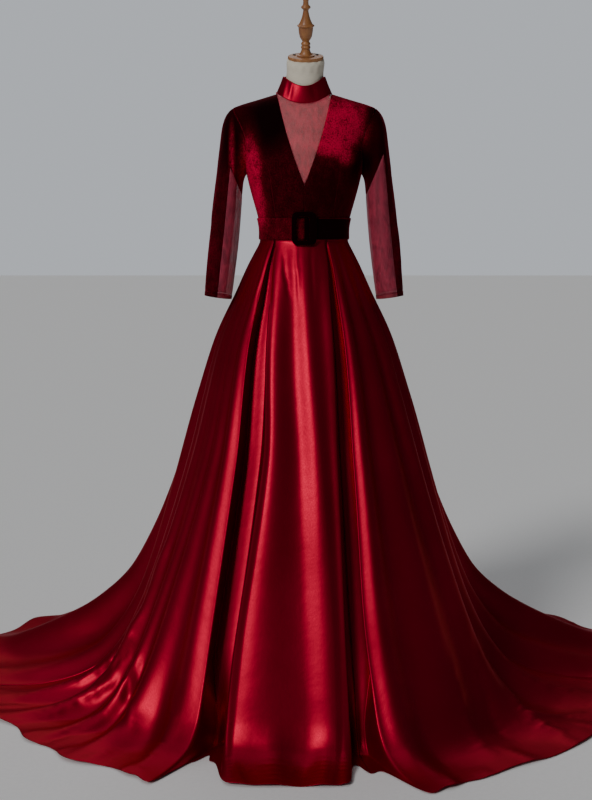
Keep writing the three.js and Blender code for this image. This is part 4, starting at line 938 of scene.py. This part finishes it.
# Painted sheen and shade on the velvet, lighter where it would catch the light and darker where it
# lies in shade: the place and size of each stroke, and how light it makes the velvet, from -1 to 1.
PAINTED_SHEEN_AT_REST = 0.34
PAINTED_SHEEN_STROKES = [
    ((-95, -90, 1545), (75, 90, 85), -0.34),
    ((-142, -70, 1412), (32, 80, 116), 0.56),
    ((-122, -70, 1305), (24, 70, 66), 0.46),
    ((96, -90, 1536), (96, 100, 76), 0.56),
    ((62, -110, 1470), (44, 60, 24), 0.4),
    ((112, -100, 1446), (28, 70, 24), 0.4),
    ((150, -80, 1420), (30, 90, 60), -0.34),
    ((50, -120, 1350), (50, 80, 70), -0.08),
    ((-205, -20, 1500), (40, 80, 90), -0.26),
    ((-190, -60, 1470), (9, 60, 90), 0.5),
    ((205, 0, 1500), (48, 80, 120), -0.32),
    ((-255, -20, 1250), (24, 70, 120), 0.1),
    ((250, -20, 1250), (24, 70, 120), 0.06),
    ((-80, 100, 1500), (80, 60, 60), 0.3),
    ((60, 100, 1380), (60, 60, 80), -0.2),
]


def paint_sheen_and_shade(piece, shift=0.0):
    """Writes painted sheen and shade into the piece's points, from the strokes and a shift of its
    own.
    """
    points = coordinates(piece.data) / MM
    painted_sheen = np.full(len(points), PAINTED_SHEEN_AT_REST + shift)
    for place, size, light in PAINTED_SHEEN_STROKES:
        away = np.linalg.norm((points - place) / size, axis=1)
        painted_sheen += light * np.exp(-(away**4))
    layer = piece.data.attributes.new("painted_sheen", "FLOAT", "POINT")
    layer.data.foreach_set("value", np.clip(painted_sheen, 0.01, 1.1))


VELVET_WALL = 1.3
PANELS = {
    "front": ((0.19, 0.38), 0.043),
    "side": ((0.1, 0.23), 0.0225),
    "back": ((0.23, 0.38), 0.077),
}
for part, (flat, area) in PANELS.items():
    for side in "LR":
        panel = cloth_piece(f"bodice_{part}_{side}", f"velvet_{part}_{side}", velvet)
        thicken(panel, VELVET_WALL)
        paint_sheen_and_shade(panel)
        finish_piece(panel, "velvet", f"bodice_{part}_{side}")


# Neck inset: a V of fine net between the two front panels. The form shows through it, and it is
# sewn in under the edges of the velvet and of the collar.
def net_material(name, color, open_share, closed_share):
    """Fine net: two crossing sets of threads, and small holes that show what lies behind."""
    net, shader = plain_material(name, color, 0.6)
    shader.inputs["Sheen Weight"].default_value = 0.5
    shader.inputs["Sheen Roughness"].default_value = 0.4
    shader.inputs["Sheen Tint"].default_value = (1.0, 0.45, 0.5, 1)
    place = node(net, "ShaderNodeTexCoord")
    threads = []
    for turn in (math.radians(40), math.radians(-40)):
        mapping = node(net, "ShaderNodeMapping", Rotation=(0, turn, 0))
        wave = node(net, "ShaderNodeTexWave", Scale=230.0, Distortion=0.4, Detail=1.0)
        join(net, place, "Object", mapping, "Vector")
        join(net, mapping, "Vector", wave, "Vector")
        threads.append(wave)
    mesh_of_threads = math_on(net, "MAXIMUM", *((wave, "Fac") for wave in threads))
    cover = range_on(net, mesh_of_threads, "Value", (0.25, 0.95), (open_share, closed_share))
    join(net, cover, "Result", shader, "Alpha")
    dye = noise_on(net, 75, 4, (1, 1, 0.4), 0.7)
    shaded = tuple(0.55 * channel for channel in color)
    tone = ramp_on(net, dye, "Fac", [(0.38, shaded), (0.62, color)])
    join(net, tone, "Color", shader, "Base Color")
    crinkle = noise_on(net, 70, 4, (1, 1, 0.35), 0.6)
    crinkled = bump_on(net, shader, crinkle, "Fac", 0.0016, 0.8)
    bump_on(net, shader, mesh_of_threads, "Value", 0.0002, 0.5, crinkled)
    return net


NET_WALL = 0.4
INSET_UNDER = 1.8  # how far the net lies under the velvet
INSET_TUCK = (1.045, 1, 1.035)  # how much wider and higher it is cut, to reach under the edges
net = net_material("fine_net", (0.62, 0.05, 0.11), 0.28, 0.7)
inset_net = net_material("inset_net", (0.92, 0.07, 0.14), 0.16, 0.6)
inset = cloth_piece("neck_inset", "net_inset", inset_net, cuts=2, edge=(0.4, 4))
inset_points = coordinates(inset.data)
inset_middle = (inset_points.min(0) + inset_points.max(0)) / 2
tucked = inset_middle + (inset_points - inset_middle) * INSET_TUCK
set_coordinates(inset.data, tucked - normals_of(inset.data) * INSET_UNDER * MM)
thicken(inset, NET_WALL)
finish_piece(inset, "sheer", "neck_inset")


# Collar: a stand band of the satin round the neck, cut on the bias, folded over at its top edge and
# sewn to the top of the bodice and the inset.
COLLAR_WALL = 1.6
COLLAR_CREASES = [
    ([(-37, -62, 1655), (-38, -66, 1625), (-40, -72, 1600)], 6, 1.6),
    ([(-54, -50, 1655), (-56, -54, 1630), (-58, -60, 1605)], 5, 1.2),
    ([(22, -66, 1650), (26, -70, 1620), (30, -74, 1600)], 8, -1.2),
    ([(30, 60, 1660), (32, 66, 1630), (34, 72, 1600)], 7, 1.2),
]
collar = cloth_piece("collar_band", "satin_collar", satin, edge=(0.4, 3), creases=COLLAR_CREASES)
thicken(collar, COLLAR_WALL)
finish_piece(collar, "satin", "collar_band")


# Sleeves: long and set in, of velvet, with a panel of the net from the underarm to the cuff on the
# inner side. The cuff ends in a narrow turned hem.
SLEEVE_CENTRE = 215
CUFF = {"centre": 231.5, "half": 35, "depth": 42, "wall": 1.9}
NET_PANEL = {"L": (90, 240), "R": (60, 210)}  # turn from the outside of the arm by the front
net_double = net_material("hem_of_net", (0.34, 0.012, 0.035), 0.75, 1.0)
SLEEVE_CREASES = [
    ([(-184, -46, 1550), (-181, -52, 1500), (-180, -52, 1440), (-174, -40, 1405)], 7, 3.5),
    ([(-197, -50, 1540), (-196, -56, 1480), (-192, -54, 1420)], 7, -3.0),
    ([(-246, -10, 1420), (-250, -25, 1360), (-246, -38, 1300)], 9, -2.4),
    ([(-225, -55, 1400), (-238, -50, 1340), (-252, -30, 1290)], 10, 2.6),
    ([(-262, -10, 1290), (-268, -25, 1220), (-268, -30, 1150)], 9, -2.0),
    ([(186, -46, 1540), (183, -52, 1480), (182, -50, 1420)], 8, -3.0),
    ([(214, -52, 1500), (222, -54, 1430), (226, -50, 1370)], 10, 2.6),
    ([(246, -10, 1410), (250, -25, 1350), (246, -38, 1290)], 9, -2.4),
    ([(262, -10, 1270), (266, -25, 1210), (266, -30, 1150)], 9, 2.0),
    ([(-215, 50, 1480), (-225, 54, 1400), (-235, 50, 1320)], 10, -2.6),
    ([(215, 50, 1470), (228, 54, 1390), (238, 48, 1310)], 10, 2.4),
]
for side, sign in (("L", -1), ("R", 1)):
    centre = (sign * SLEEVE_CENTRE, 0)
    sleeve = cloth_piece(
        f"sleeve_{side}", f"velvet_sleeve_{side}", velvet, centre=centre, creases=SLEEVE_CREASES
    )
    thicken(sleeve, VELVET_WALL)
    paint_sheen_and_shade(sleeve)
    finish_piece(sleeve, "velvet", f"sleeve_{side}")
    sheer = cloth_piece(
        f"sleeve_mesh_{side}", f"net_sleeve_{side}", net, cuts=2, centre=centre, edge=(0.4, 3)
    )
    thicken(sheer, NET_WALL)
    finish_piece(sheer, "sheer", f"sleeve_mesh_{side}")
    band = cloth_piece(
        f"sleeve_hem_{side}", f"cuff_hem_{side}", velvet, cuts=2, centre=centre, edge=None
    )
    band.data.materials.append(net_double)
    first, last = NET_PANEL[side]
    for face in band.data.polygons:
        x, y, _ = face.center / MM
        outwards = (sign * x - CUFF["centre"]) / CUFF["half"]
        turn = math.degrees(math.atan2(-y / CUFF["depth"], outwards)) % 360
        face.material_index = 1 if first <= turn <= last else 0
    thicken(band, CUFF["wall"])
    paint_sheen_and_shade(band)
    finish_piece(band, "sheer", f"sleeve_hem_{side}")


# Belt: a band of the velvet over a stiff core, its overlapping end, and a frame buckle covered in
# the same velvet. The belt runs behind the frame's sides and over its middle.
BELT_WALL = 2.2
# Each belt part's second value shifts its painted sheen and shade: the band painted lighter, its
# overlapping end painted darker, as in shade.
BELT_PARTS = {
    "belt_band": ("velvet_belt", 0.12, (0.73, 0.06), "velvet_front_L", 0.042),
    "belt_tongue": ("belt_end", -0.33, (0.16, 0.056), "velvet_belt", 0.0086),
}
for node_name, (name, painted_sheen_shift, flat, under, area) in BELT_PARTS.items():
    part_of_belt = cloth_piece(node_name, name, velvet, edge=(0.9, 3))
    thicken(part_of_belt, BELT_WALL)
    paint_sheen_and_shade(part_of_belt, painted_sheen_shift)
    finish_piece(part_of_belt, "velvet", node_name)

FRAME = {"width": 66, "height": 86, "middle": 1263, "thick": 4.6}
WINDOW = {"width": 34, "height": 63, "x": -3}
FRAME_AROUND = 96
FRAME_SECTION = 20


def squared_circle(steps, power):
    """Points of a circle drawn out towards its square. A higher power has sharper corners."""
    turn = np.linspace(0, 2 * math.pi, steps, endpoint=False)
    c, s = np.cos(turn), np.sin(turn)
    size = (np.abs(c) ** power + np.abs(s) ** power) ** (-1 / power)
    return size * c, size * s


def buckle_frame():
    """A rounded frame: its section runs round the window, bent as the CAD frame is."""
    bent = np.array([tuple(v.co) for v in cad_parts["belt_buckle"].data.vertices]) / MM
    x, y, z = bent.T
    z = z - FRAME["middle"]
    bend = np.linalg.lstsq(np.stack([x * x, z, z * z, 1 + 0 * x], axis=1), y, rcond=None)[0]
    across, up = squared_circle(FRAME_AROUND, 5.5)
    inner_x = WINDOW["width"] / 2 * across + WINDOW["x"]
    inner = np.stack([inner_x, WINDOW["height"] / 2 * up], axis=1)
    outer = np.stack([FRAME["width"] / 2 * across, FRAME["height"] / 2 * up], axis=1)
    outwards, forwards = squared_circle(FRAME_SECTION, 4)
    rows = []
    for along, out in zip(0.5 + 0.5 * outwards, FRAME["thick"] / 2 * forwards):
        x, z = (inner + (outer - inner) * along).T
        depth = bend[0] * x**2 + bend[1] * z + bend[2] * z**2 + bend[3]
        rows.append(np.stack([x, depth - out, z + FRAME["middle"]], axis=1))
    rows = np.array(rows) * MM
    faces = grid_faces(*rows.shape[:2], open_edges=0)
    mesh = bpy.data.meshes.new("covered_buckle")
    mesh.from_pydata(rows.reshape(-1, 3).tolist(), [], faces)
    shape = bmesh.new()
    shape.from_mesh(mesh)
    bmesh.ops.recalc_face_normals(shape, faces=shape.faces)
    shape.to_mesh(mesh)
    shape.free()
    return show(mesh, "covered_buckle", velvet)


covered_buckle = buckle_frame()
# The buckle is painted darker, as in shade.
paint_sheen_and_shade(covered_buckle, -0.32)
finish_piece(covered_buckle, "velvet", "belt_buckle")
